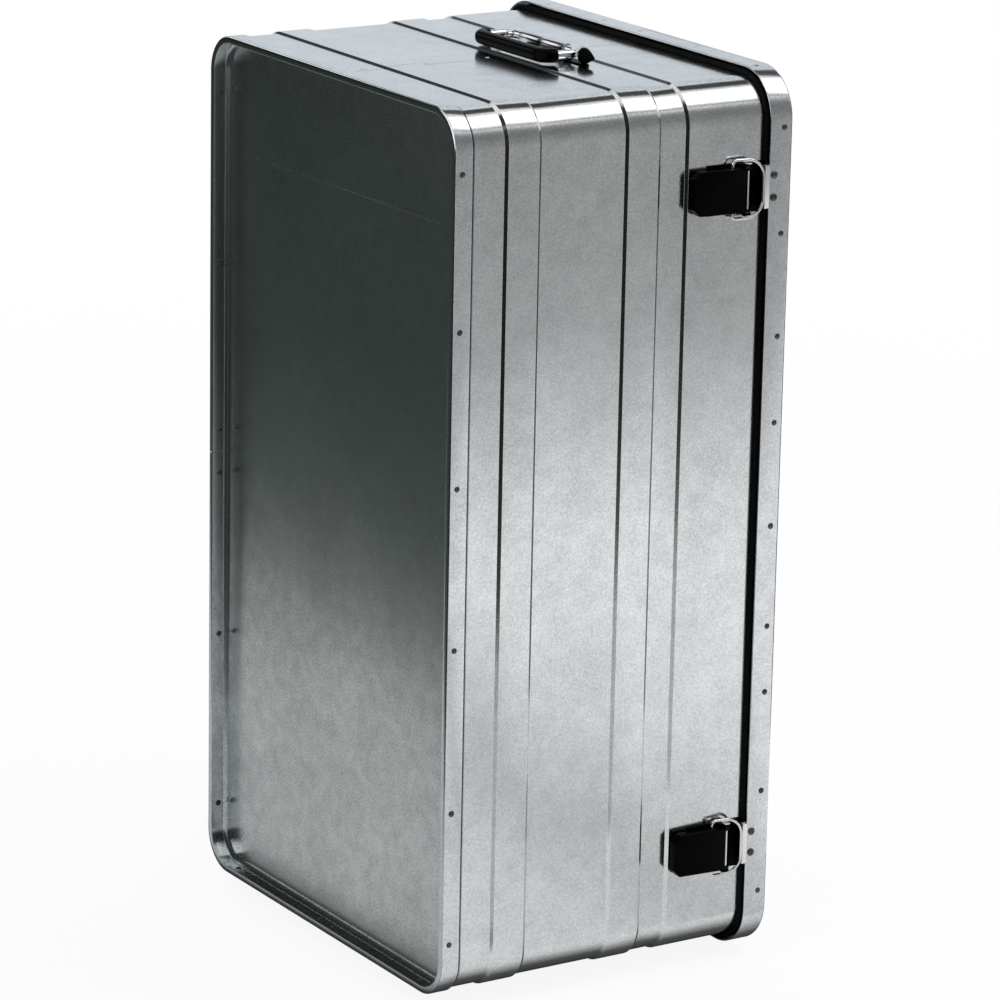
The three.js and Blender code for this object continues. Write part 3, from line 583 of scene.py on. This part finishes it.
pan_out, pan_top, pan_foot = skirt_in - fit, flange_under - fit, shelf_top + fit
field, field_top = flange_in - raised_margin, pan_top + raised_by
rise_end, field_flat = field - 4, field - 12   # where the rise to the field ends, and the last ring
pan_rings = softened([
    (field_flat, field_top, 0), (rise_end, field_top, 4), (field, pan_top, 4), (pan_out, pan_top, 3.7),
    (pan_out, pan_foot, 0.3), (pan_out - sheet, pan_foot, 0.3), (pan_out - sheet, pan_top - sheet, 2.5),
    (field, pan_top - sheet, 4), (rise_end, field_top - sheet, 4), (field_flat, field_top - sheet, 0),
], closed=False, steps=6)
place_piece(tray("lid_tray", pan_rings, panel_finish), "lid", ["lid_panel"])

# %% [markdown]
# ## Rivets
#
# Small rivets hold the profiles to the sheets. They repeat, so a node tree sets one head on each point and turns it to
# the point's facing, which is an attribute.

# %% Rivet head and the rivet tree
def turned_object(name, outline, finish, sides=28):
    """A turned piece from (radius, height) points in millimetres, standing on the Z axis."""
    work = bmesh.new()
    rows = []
    for radius, height in outline:
        if radius == 0:
            rows.append([work.verts.new((0, 0, height * MM))])
        else:
            angles = [2 * math.pi * s / sides for s in range(sides)]
            rows.append([work.verts.new(Vector((radius * math.cos(a), radius * math.sin(a), height)) * MM)
                         for a in angles])
    for low, high in zip(rows, rows[1:]):
        for s in range(sides):
            t = (s + 1) % sides
            ring = [low[s % len(low)], low[t % len(low)], high[t % len(high)], high[s % len(high)]]
            work.faces.new(list(dict.fromkeys(ring)))
    return tidy_shell(from_bmesh(name, work, finish), smooth=50)


def dome(radius, rise, sink=0.25, dimple=0.0):
    """Outline of a rivet head, with a dimple where a hollow rivet was set."""
    outline = [(0, -sink), (radius * 0.97, -sink), (radius, 0)]
    outline += [(radius * math.cos(a), rise * math.sin(a)) for a in (0.25, 0.55, 0.85, 1.1, 1.3)]
    if dimple:
        outline += [(radius * 0.22, rise - dimple * 0.4), (radius * 0.12, rise - dimple)]
        return outline + [(0, rise - dimple)]
    return outline + [(0, rise)]


def rivet_tree():
    """Sets a head on each point, turned to the point's facing and varied a little in size."""
    tree, given = begun_tree("Rivets on points", [("Points", "Geometry"), ("Head", "Object"),
                                                  ("Size Spread", "Float"), ("Finish", "Material")])
    info = add_node(tree, "GeometryNodeObjectInfo", links={"Object": given.outputs["Head"]})
    facing = add_node(tree, "GeometryNodeInputNamedAttribute", {"data_type": "FLOAT_VECTOR", "Name": "facing"})
    turn = add_node(tree, "FunctionNodeAlignRotationToVector", {"axis": "Z"},
                    {"Vector": facing.outputs["Attribute"]})
    low = add_node(tree, "ShaderNodeMath", {"operation": "SUBTRACT", 0: 1.0}, {1: given.outputs["Size Spread"]})
    high = add_node(tree, "ShaderNodeMath", {"operation": "ADD", 0: 1.0}, {1: given.outputs["Size Spread"]})
    vary = add_node(tree, "FunctionNodeRandomValue", {"data_type": "FLOAT", "Seed": 7},
                    {2: low.outputs["Value"], 3: high.outputs["Value"]})
    instances = add_node(tree, "GeometryNodeInstanceOnPoints", links={
        "Points": given.outputs["Points"], "Instance": info.outputs["Geometry"],
        "Rotation": turn.outputs["Rotation"], "Scale": vary.outputs[1]})
    return ended_tree(tree, given, instances.outputs["Instances"])


# %% Set rivets
riveting = rivet_tree()


def rivets(name, head, places, finish, body, size_spread=0.04):
    """Sets a head on each (point in mm, facing) and lets the rivets ride on a body."""
    mesh = bpy.data.meshes.new(name + "_points")
    mesh.from_pydata([Vector(point) * MM for point, _ in places], [], [])
    facing = mesh.attributes.new("facing", "FLOAT_VECTOR", "POINT")
    facing.data.foreach_set("vector", [c for _, way in places for c in Vector(way).normalized()])
    piece = run_tree(linked(name + "_points", mesh), riveting, name,
                     {"Head": head, "Size Spread": size_spread, "Finish": finish})
    return place_piece(tidy_shell(piece, smooth=50), body, [])


small_head = turned_object("small_rivet_head", dome(2.8, 1.1, dimple=0.6), rivet_painted_dark_finish, sides=20)
low_head = turned_object("low_rivet_head", dome(2.4, 0.55), pale_rivet_finish, sides=20)

# %% Rivets round the base profile and the lid
front_row = [-346, -209, -71, 74, 223, 345]
back_row = [-344, -185, -25, 16, 173, 341]
left_row = [150, 5, -15, -161]
right_row = [165, 12, -12, -165]
side_z, end_z, lid_side_z, lid_end_z = 7.5, 6.5, 332.5, 328


def on_sides(front_places, back_places, y, z, facing=1):
    """Rivets on the front and back at a distance y, facing out (1) or in (-1)."""
    return [((x, side * y, z), (0, side * facing, 0))
            for side, places in ((-1, front_places), (1, back_places)) for x in places]


def on_ends(left_places, right_places, x, z, facing=1):
    """Rivets on the two short ends at a distance x."""
    return [((side * x, y, z), (side * facing, 0, 0))
            for side, places in ((-1, left_places), (1, right_places)) for y in places]


outside = on_sides(front_row, back_row, front, side_z)
ends = on_ends(left_row, right_row, end, end_z)
inside = (on_sides(front_row, back_row, front + inner_in, side_z, -1)
          + on_ends(left_row, right_row, end + inner_in, end_z, -1))
# The rivets on the sides are painted dark as painted shade, and those on the ends are pale
rivets("base_rivets", small_head, outside + inside, rivet_painted_dark_finish, "case")
rivets("base_end_rivets", low_head, ends, pale_rivet_finish, "case")

lid_front = [-359, -264, -171, -92, 3.5, 97, 159, 253, 349]
lid_back = [-355, -215, -150, -55, 55, 150, 215, 355]
lid_left = [62, 1.6, -88, -182, 155]
lid_right = [-155, -62, 0, 88, 182]
lid_sides = on_sides(lid_front, lid_back, front + lid_overhang, lid_side_z)
lid_ends = on_ends(lid_left, lid_right, end + lid_overhang, lid_end_z)
rivets("lid_rivets", small_head, lid_sides, rivet_painted_dark_finish, "lid")
rivets("lid_end_rivets", low_head, lid_ends, pale_rivet_finish, "lid")


def band_level(height):
    """Level of the wall's band at a height, in bead depths."""
    return next((level for step, level in band_steps[::-1] if height > step), lowest_level)


rivet_line, seam_heights = -3.0, (34, 98, 162, 262, 296)
seam_places = [((-end - band_level(z) * bead_depth, rivet_line, z), (-1, 0, 0)) for z in seam_heights]
rivets("seam_rivets", low_head, seam_places, pale_rivet_finish, "case")
bpy.data.objects.remove(small_head)
bpy.data.objects.remove(low_head)

# %% [markdown]
# ## Hinges
#
# The stamped leaves keep their CAD shape. In a copy of each, sharp edges are bevelled a little and round parts are
# smoothed, which is all a small pressing needs.

# %% A finer copy of a CAD piece
def refined(node, name, finish, body, bevel, segments=2):
    """A copy of a CAD node with bevelled edges and smooth round parts, in the node's place."""
    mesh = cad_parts[node].data.copy()
    mesh.name = name
    mesh.materials.clear()
    mesh.materials.append(finish)
    for face in mesh.polygons:
        face.material_index = 0
    piece = tidy_shell(linked(name, mesh), smooth=42, bevel=bevel, segments=segments)
    return place_piece(piece, body, [node])


for number in (1, 2, 3):
    for node, name, body, bevel in (("body_leaf", "leaf_on_body", "case", 0.25),
                                    ("lid_leaf", "leaf_on_lid", "lid", 0.25), ("pin", "rod", "case", 0.2)):
        refined(f"hinge_{number}_{node}", f"hinge_{name}_{number}", zinc_finish, body, bevel)

# %% [markdown]
# ## Latches
#
# Each latch is a black steel plate with two ears, a black pressed lever on a pin, and a bail of bright wire that hooks
# the catch on the lid. The wire is a curve with a round section, because wire is bent along a line.

# %% Bent wire
def bent_wire(name, points, radius, finish, closed=False):
    """A round wire through points in millimetres."""
    curve = bpy.data.curves.new(name, "CURVE")
    curve.dimensions = "3D"
    curve.bevel_depth = radius * MM
    curve.bevel_resolution = 10
    curve.use_fill_caps = not closed
    line = curve.splines.new("POLY")
    line.points.add(len(points) - 1)
    for spot, point in zip(line.points, points):
        spot.co = (*(Vector(point) * MM), 1)
    line.use_cyclic_u = closed
    curve.materials.append(finish)
    piece = plain_mesh(linked(name + "_line", curve), name)
    piece.data.materials.clear()
    piece.data.materials.append(finish)
    return tidy_shell(piece, smooth=50)


# %% Latches, one after the other
pin_height, pin_out = 294.0, 9.0
bail_height, bail_out = 280.0, 6.6
crossbar_height, crossbar_out = 310.6, 9.6
bail_wire, bail_half, bail_gap = 1.5, 26.0, 16.5
eye_bend, top_bend = 4.0, 16.0
catch_half, catch_rivet_rise = 10, 5
latches = {"left": -307.5, "right": 300.5}

for side, place in latches.items():
    refined(f"latch_{side}_plate", f"latch_plate_{side}", black_finish, "case", 0.35)
    refined(f"latch_{side}_pin", f"lever_pin_{side}", bright_finish, "case", 0.3, segments=3)
    refined(f"latch_{side}_lever", f"latch_lever_{side}", black_finish, f"lever_{side}", 0.7, segments=3)
    refined(f"latch_{side}_catch", f"lid_catch_{side}", catch_painted_light_finish, "lid", 0.35)
    half = ([(bail_gap, bail_height)]
            + arc_points(bail_half - eye_bend, bail_height + eye_bend, eye_bend, -90, 0)
            + arc_points(bail_half - top_bend, crossbar_height - top_bend, top_bend, 0, 90, 20))
    flat = half + [(-x, z) for x, z in half[::-1]]
    slope = (crossbar_out - bail_out) / (crossbar_height - bail_height)
    route = [(place + x, -front - bail_out - (z - bail_height) * slope, z) for x, z in flat]
    bail = bent_wire(f"latch_bail_{side}", route, bail_wire, bright_finish)
    place_piece(bail, f"bail_{side}", [f"latch_{side}_bail"])
    catch_head = turned_object("catch_rivet_head", dome(3.6, 1.6, sink=3.4, dimple=0.9), rivet_painted_dark_finish)
    face_y = -front - lid_overhang - fit
    places = [((place + shift, face_y, skirt_edge + catch_rivet_rise), (0, -1, 0))
              for shift in (-catch_half, catch_half)]
    heads = rivets(f"catch_rivets_{side}", catch_head, places, rivet_painted_dark_finish, "lid", 0.0)
    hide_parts(f"latch_{side}_catch_rivet_1", f"latch_{side}_catch_rivet_2")
    bpy.data.objects.remove(catch_head)

# %% [markdown]
# ## Handles
#
# A drop handle hangs on each short end: a closed ring of thick bright wire, with a round black grip moulded over its
# lower side and its two bends. Each half of the hinge bar lies in a thin steel strap on a foot of its own, and a black
# pointed cap stands beside the ring. The cap on the side away from the latches is low and lies behind the ring. The
# grip follows the ring's own line with a round section that shrinks at its ends, like a moulding's soft shoulders.

# %% The ring's line
ring_reach, ring_drop, ring_bend, ring_wire = 113.0, 36.0, 11.0, 4.0
bar_height, bar_out, handle_shift = 218.0, 8.0, -9.5
grip_radius, grip_rise, grip_sides = 6.5, 11.0, 32
shoulders, squareness = (0.76, 0.93, 1.0), 0.75


def handle_point(turn, along, out, height):
    """A point in a handle's own terms, on the left (-1) or right (1) end of the box."""
    return (turn * (end + out), handle_shift - turn * along, height)


def ring_line():
    """Points (along, height) of the closed ring, from the right bend round by the hinge bar."""
    half, low, high = ring_reach / 2, bar_height - ring_drop, bar_height
    corners = [(half, high, 0), (-half, high, 90), (-half, low, 180), (half, low, 270)]
    return [p for x, z, start in corners
            for p in arc_points(x - math.copysign(ring_bend, x), z + (ring_bend if z == low else -ring_bend),
                                ring_bend, start, start + 90, 10)]


# %% Grip
def grip_sections(turn):
    """Round sections along the ring's lower side and bends; the first and last few shrink to soft shoulders."""
    half, low = ring_reach / 2, bar_height - ring_drop
    reach = half - ring_bend
    line = [(-half, low + grip_rise)] + arc_points(-reach, low + ring_bend, ring_bend, 180, 270, 16)
    line += [(-reach + 2 * reach * s / 12, low) for s in range(1, 12)]
    line += arc_points(reach, low + ring_bend, ring_bend, 270, 360, 16) + [(half, low + grip_rise)]
    sections = []
    for i, (along, height) in enumerate(line):
        ahead = Vector(line[min(i + 1, len(line) - 1)]) - Vector(line[max(i - 1, 0)])
        across = Vector((-ahead.y, ahead.x)).normalized()
        shoulder = min(i, len(line) - 1 - i)
        radius = grip_radius * shoulders[min(shoulder, 2)]
        ring = []
        for s in range(grip_sides):
            a = 2 * math.pi * s / grip_sides
            side = across * (radius * math.cos(a))
            depth = math.copysign(abs(math.sin(a)) ** squareness, math.sin(a))
            ring.append(handle_point(turn, along + side.x, bar_out - 0.1 + radius * depth, height + side.y))
        sections.append(ring)
    return sections


# %% Brackets
foot_in, foot_out = fit - bead_depth, fit - bead_depth + 1.6
foot_shape = [(0.5, 7.0), (38.0, 7.0), (60.0, 4.4), (71.0, 1.6)]   # along the bar, then half the height
strap_start, strap_end = 0.15, 36.5
strap_clear, strap_sheet = ring_wire + 0.25, 1.0
# The cap: along the bar, then radius
cap_shape = [(62.0, 6.6), (62.5, 7.2), (66.0, 7.3), (70.0, 6.0), (75.0, 3.8), (79.0, 1.8), (80.3, 1.1), (80.5, 0.7)]
cap_sides, cap_flatness = 28, 0.8
high_cap, low_cap = (1.0, 6.9), (0.52, 3.6)   # size, then the middle's distance out


def foot_outline(way):
    """Outline (along, height) of a bracket's foot, from the middle of the bar to its tip."""
    return ([(way * a, bar_height - h) for a, h in foot_shape]
            + [(way * a, bar_height + h) for a, h in foot_shape[::-1]])


def strap_section(along, turn):
    """Section of the strap over the hinge bar, at a place along it."""
    outside = strap_clear + strap_sheet
    outline = ([(foot_out, bar_height - outside)] + arc_points(bar_out, bar_height, outside, -90, 90, 16)
               + [(foot_out, bar_height + outside), (foot_out, bar_height + strap_clear)]
               + arc_points(bar_out, bar_height, strap_clear, 90, -90, 16) + [(foot_out, bar_height - strap_clear)])
    return [handle_point(turn, along, out, height) for out, height in outline]


def cap_sections(turn, way, size, middle):
    """Sections of the pointed cap beside the ring, from its blunt end to its point, round a middle line."""
    angles = [2 * math.pi * s / cap_sides for s in range(cap_sides)]
    return [[handle_point(turn, way * along, middle + size * radius * math.sin(a),
                          bar_height + size * radius * cap_flatness * math.cos(a)) for a in angles]
            for along, radius in cap_shape]


# %% Both handles
for side, turn in (("left", -1), ("right", 1)):
    route = [handle_point(turn, along, bar_out, height) for along, height in ring_line()]
    ring = bent_wire(f"handle_wire_{side}", route, ring_wire, bright_finish, closed=True)
    place_piece(ring, f"handle_{side}", [f"handle_{side}_ring"])
    grip = tidy_shell(lofted(f"grip_{side}", grip_sections(turn), grip_finish), smooth=60)
    place_piece(grip, f"handle_{side}", [f"handle_{side}_grip"])
    for number, way in ((1, 1), (2, -1)):
        faces = [[handle_point(turn, along, out, height) for along, height in foot_outline(way)]
                 for out in (foot_in, foot_out)]
        foot = tidy_shell(lofted(f"bracket_foot_{side}_{number}", faces, black_finish), bevel=0.4, segments=3)
        place_piece(foot, "case", [f"handle_{side}_bracket_{number}"])
        size, middle = high_cap if turn * way > 0 else low_cap
        cap = lofted(f"bracket_cap_{side}_{number}", cap_sections(turn, way, size, middle), black_finish)
        place_piece(tidy_shell(cap, smooth=50), "case", [])
        strap = lofted(f"bracket_strap_{side}_{number}",
                       [strap_section(way * strap_start, turn), strap_section(way * strap_end, turn)], strap_finish)
        place_piece(tidy_shell(strap, bevel=0.3), "case", [])

# %% [markdown]
# ## Studio
#
# The photograph shows the box standing on one short end against white, so the floor lies under that end. Bare metal
# shows what stands round it, and all-white surroundings would make it look flat. So dark and grey cards stand out of
# the camera's view, as a photographer places them, and a softbox hangs above.

# %% Floor
floor_x = cad_high.x + 0.0005


def stage_plane(name, corners, material):
    """A flat piece of the studio, which is no part of the box."""
    mesh = bpy.data.meshes.new(name)
    mesh.from_pydata(corners, [], [range(len(corners))])
    mesh.materials.append(material)
    made = linked(name, mesh)
    return made


def empty_material(name):
    """A material without nodes, and its node tree."""
    material = bpy.data.materials.new(name)
    material.use_nodes = True
    material.node_tree.nodes.clear()
    return material, material.node_tree


box_middle = 0.17
turns_white, turns_clear = (0.2, 0.8), (1.2, 2.8)   # metres out from the box's middle line


def floor_material():
    """White to the camera and in reflections, keeps a soft shadow, clear from below and towards its rim."""
    material, tree = empty_material("white_paper_floor")
    rays = add_node(tree, "ShaderNodeLightPath")
    where = add_node(tree, "ShaderNodeTexCoord")
    flat = add_node(tree, "ShaderNodeMapping", {"Location": (0, 0, -box_middle), "Scale": (0, 1, 1)},
                    {"Vector": where.outputs["Object"]})
    away = add_node(tree, "ShaderNodeVectorMath", {"operation": "LENGTH"}, {0: flat.outputs["Vector"]})
    far, rim = [add_node(tree, "ShaderNodeMapRange",
                         {"interpolation_type": "SMOOTHSTEP", "From Min": start, "From Max": stop},
                         {"Value": away.outputs["Value"]}).outputs["Result"]
                for start, stop in (turns_white, turns_clear)]
    bounced = add_node(tree, "ShaderNodeMath", {"operation": "MULTIPLY"},
                       {0: rays.outputs["Is Glossy Ray"], 1: far})
    seen = add_node(tree, "ShaderNodeMath", {"operation": "MULTIPLY", 1: 0.85}, {0: rays.outputs["Is Camera Ray"]})
    share = add_node(tree, "ShaderNodeMath", {"operation": "MAXIMUM"},
                     {0: bounced.outputs["Value"], 1: seen.outputs["Value"]})
    matt = add_node(tree, "ShaderNodeBsdfDiffuse", {"Color": linear("#F6F6F6")})
    white = add_node(tree, "ShaderNodeEmission", {"Strength": 1.06})
    mixed = add_node(tree, "ShaderNodeMixShader", links={
        0: share.outputs["Value"], 1: matt.outputs["BSDF"], 2: white.outputs["Emission"]})
    side = add_node(tree, "ShaderNodeNewGeometry")
    gone = add_node(tree, "ShaderNodeMath", {"operation": "MAXIMUM"},
                    {0: rim, 1: side.outputs["Backfacing"]})
    clear = add_node(tree, "ShaderNodeBsdfTransparent")
    ends = add_node(tree, "ShaderNodeMixShader", links={
        0: gone.outputs["Value"], 1: mixed.outputs["Shader"], 2: clear.outputs["BSDF"]})
    add_node(tree, "ShaderNodeOutputMaterial", links={"Surface": ends.outputs["Shader"]})
    return material


stage_plane("studio_floor", [(floor_x, -3, -3), (floor_x, -3, 3), (floor_x, 3, 3), (floor_x, 3, -3)],
            floor_material())
print("Floor at", round(floor_x, 4))

# %% [markdown]
# Each card glows at an even grey or at a few greys along one axis, so its reflection has a known brightness. It is seen
# only in reflections: it throws no shadow and lights nothing.

# %% Cards
def card(name, corners, stops, axis="X", tint="#FFFFFF"):
    """A reflecting card of one level, or whose level follows stops of (place, level) along an axis."""
    material, tree = empty_material(name)
    if not isinstance(stops, list):
        stops = [(0, stops), (1, stops)]
    start, stop = stops[0][0], stops[-1][0]
    along = add_node(tree, "ShaderNodeMapRange", {"From Min": start, "From Max": stop},
                     {"Value": object_axes(tree)[axis]})
    ramp = add_node(tree, "ShaderNodeValToRGB", links={"Fac": along.outputs["Result"]})
    band = ramp.color_ramp.elements
    while len(band) < len(stops):
        band.new(0.5)
    for element, (place, level) in zip(band, stops):
        element.position = (place - start) / (stop - start)
        element.color = [level * c for c in linear(tint)[:3]] + [1]
    glow = add_node(tree, "ShaderNodeEmission", links={"Color": ramp.outputs["Color"]})
    add_node(tree, "ShaderNodeOutputMaterial", links={"Surface": glow.outputs["Emission"]})
    made = stage_plane(name, corners, material)
    made.visible_camera = made.visible_diffuse = made.visible_shadow = False
    return made


def upright(axis, place, low, high):
    """Corners of a card square to an axis, between two corners given in the other two axes."""
    flat = [(low[0], low[1]), (high[0], low[1]), (high[0], high[1]), (low[0], high[1])]
    return [(a, place, b) if axis == "Y" else (a, b, place) if axis == "Z" else (place, a, b) for a, b in flat]


lit_place = (-0.3, 0, 0.15)


def hanging(direction, distance, width, length):
    """Corners of a card that faces the box from a direction, its length along the box's height."""
    way = Vector(direction).normalized()
    across = way.cross(Vector((0, 0, 1))).normalized()
    along = across.cross(way)
    middle = way * distance + Vector(lit_place)
    return [middle + across * (a * width / 2) + along * (b * length / 2)
            for a, b in ((-1, -1), (1, -1), (1, 1), (-1, 1))]


foot = floor_x - 0.002   # the cards stand 2 mm above the floor
card("base_side_card", upright("Z", -0.535, (-1.9, 0.05), (foot, 3.0)),
     [(-1.9, 0.01), (-0.3, 0.012), (-0.12, 0.046), (0.15, 0.046), (0.26, 0.062), (foot, 0.07)], tint="#E6FFEC")
card("left_card", upright("Z", -0.52, (-1.9, -3.0), (foot, -0.3)), [(-1.9, 0.012), (0.18, 0.012), (foot, 0.04)])
card("gap_card", upright("Z", -0.525, (-0.45, -0.31), (foot, 0.06)), 0.02)
card("corner_card", upright("Z", -0.5, (-1.05, -0.8), (-0.335, 0.3)), 1.5)
card("back_card", upright("Y", 2.2, (-3.2, -0.8), (foot, 3.5)),
     [(-0.8, 0.05), (0.45, 0.05), (0.65, 0.81), (3.5, 0.81)], "Z", "#F1F8FF")
card("right_card", upright("Z", 0.95, (-0.5, -0.45), (foot, 0.9)), 0.06)
card("front_card", upright("Y", -1.3, (-1.5, 0.0), (foot, 2.8)),
     [(-1.5, 0.9), (-1.15, 0.3), (-0.9, 0.24), (-0.7, 0.25), (-0.1, 0.4), (0.12, 0.48), (0.33, 1.0), (foot, 1.0)])
card("front_floor_card", upright("X", foot, (-1.29, -0.02), (-0.262, 1.5)),
     [(-0.02, 0.9), (0.1, 0.84), (0.24, 0.8), (0.36, 0.64), (0.45, 0.74), (0.6, 0.92), (0.9, 1.04), (1.5, 1.04)], "Z")
card("contact_card", upright("X", foot, (-0.262, -0.02), (0.4, 0.6)),
     [(-0.262, 0.85), (-0.236, 0.75), (-0.205, 0.1), (-0.18, 0.04), (0.4, 0.04)], "Y")
card("floor_card", upright("X", foot, (-2.5, -2.5), (2.6, -0.02)),
     [(-2.5, 0.3), (-0.535, 0.3), (-0.44, 0.46), (-0.35, 0.56), (-0.05, 0.54), (-0.02, 0.06)], "Z")
card("overhead_dark_card", hanging((-0.81, 0.25, 0.54), 2.3, 0.76, 3.0), 0.06)
card("thin_dark_card", hanging((-0.61, -0.58, 0.54), 2.6, 0.12, 3.0), 0.2)
card("handle_card", [(-0.747, 0.854, 0.066), (-0.933, 0.626, -0.206), (-0.613, 0.626, -0.426), (-0.427, 0.854, -0.154)],
     1.2)

# %% [markdown]
# The world is white where the camera or a reflection sees it, and weaker as a light, so that the shadow on the floor
# stays. The softbox gives the long side its soft highlight and shapes the rounded corners.

# %% Light
sky_light = 0.55
world = bpy.data.worlds.new("studio")
bpy.context.scene.world = world
world.use_nodes = True
world.node_tree.nodes.clear()
rays = add_node(world.node_tree, "ShaderNodeLightPath")
seen = add_node(world.node_tree, "ShaderNodeMath", {"operation": "MAXIMUM"},
                {0: rays.outputs["Is Camera Ray"], 1: rays.outputs["Is Glossy Ray"]})
shown = add_node(world.node_tree, "ShaderNodeMath", {"operation": "MAXIMUM"},
                 {0: seen.outputs["Value"], 1: rays.outputs["Is Transmission Ray"]})
level = add_node(world.node_tree, "ShaderNodeMapRange", {"To Min": sky_light},
                 {"Value": shown.outputs["Value"]})
sky = add_node(world.node_tree, "ShaderNodeBackground", {"Color": (1, 1, 1, 1)},
               {"Strength": level.outputs["Result"]})
add_node(world.node_tree, "ShaderNodeOutputWorld", links={"Surface": sky.outputs["Background"]})


def lamp(name, place, aim, width, length, watts, tint="#FFFFFF"):
    """A soft lamp that shines from a place towards a point."""
    light = bpy.data.lights.new(name, "AREA")
    light.shape = "RECTANGLE"
    light.size, light.size_y = width, length
    light.energy = watts
    light.color = linear(tint)[:3]
    made = linked(name, light)
    made.location = place
    made.rotation_mode = "QUATERNION"
    made.rotation_quaternion = (Vector(aim) - Vector(place)).to_track_quat("-Z", "Y")
    return made


lamp("overhead_softbox", (-2.25, -0.72, 1.45), lit_place, 1.25, 1.7, 12.5, "#F6F9FF")
print("Lamps:", len(bpy.data.lights))

# %% [markdown]
# ## Camera
#
# The camera's lens, place and tilt were worked out from the photograph's edges. The long side runs downwards there, so
# the camera is turned a quarter round its own axis.

# %% Camera
right = Vector((-0.01923, -0.52944, 0.84813))
down = Vector((0.96258, -0.23916, -0.12746))
ahead = Vector((0.27032, 0.81394, 0.51422))
camera = bpy.data.cameras.new("camera")
camera.sensor_width = 36
camera.lens = 177.54
camera.clip_end = 60
camera_object = linked("camera", camera)
camera_object.matrix_world = (Matrix.Translation(Vector((-1.2051, -3.6737, -2.1348)))
                              @ Matrix((right, -down, -ahead)).transposed().to_4x4())
bpy.context.scene.camera = camera_object
bpy.context.scene.view_settings.view_transform = "Standard"
print("Camera", round((camera_object.matrix_world.translation - (cad_low + cad_high) / 2).length, 2), "m from the box")
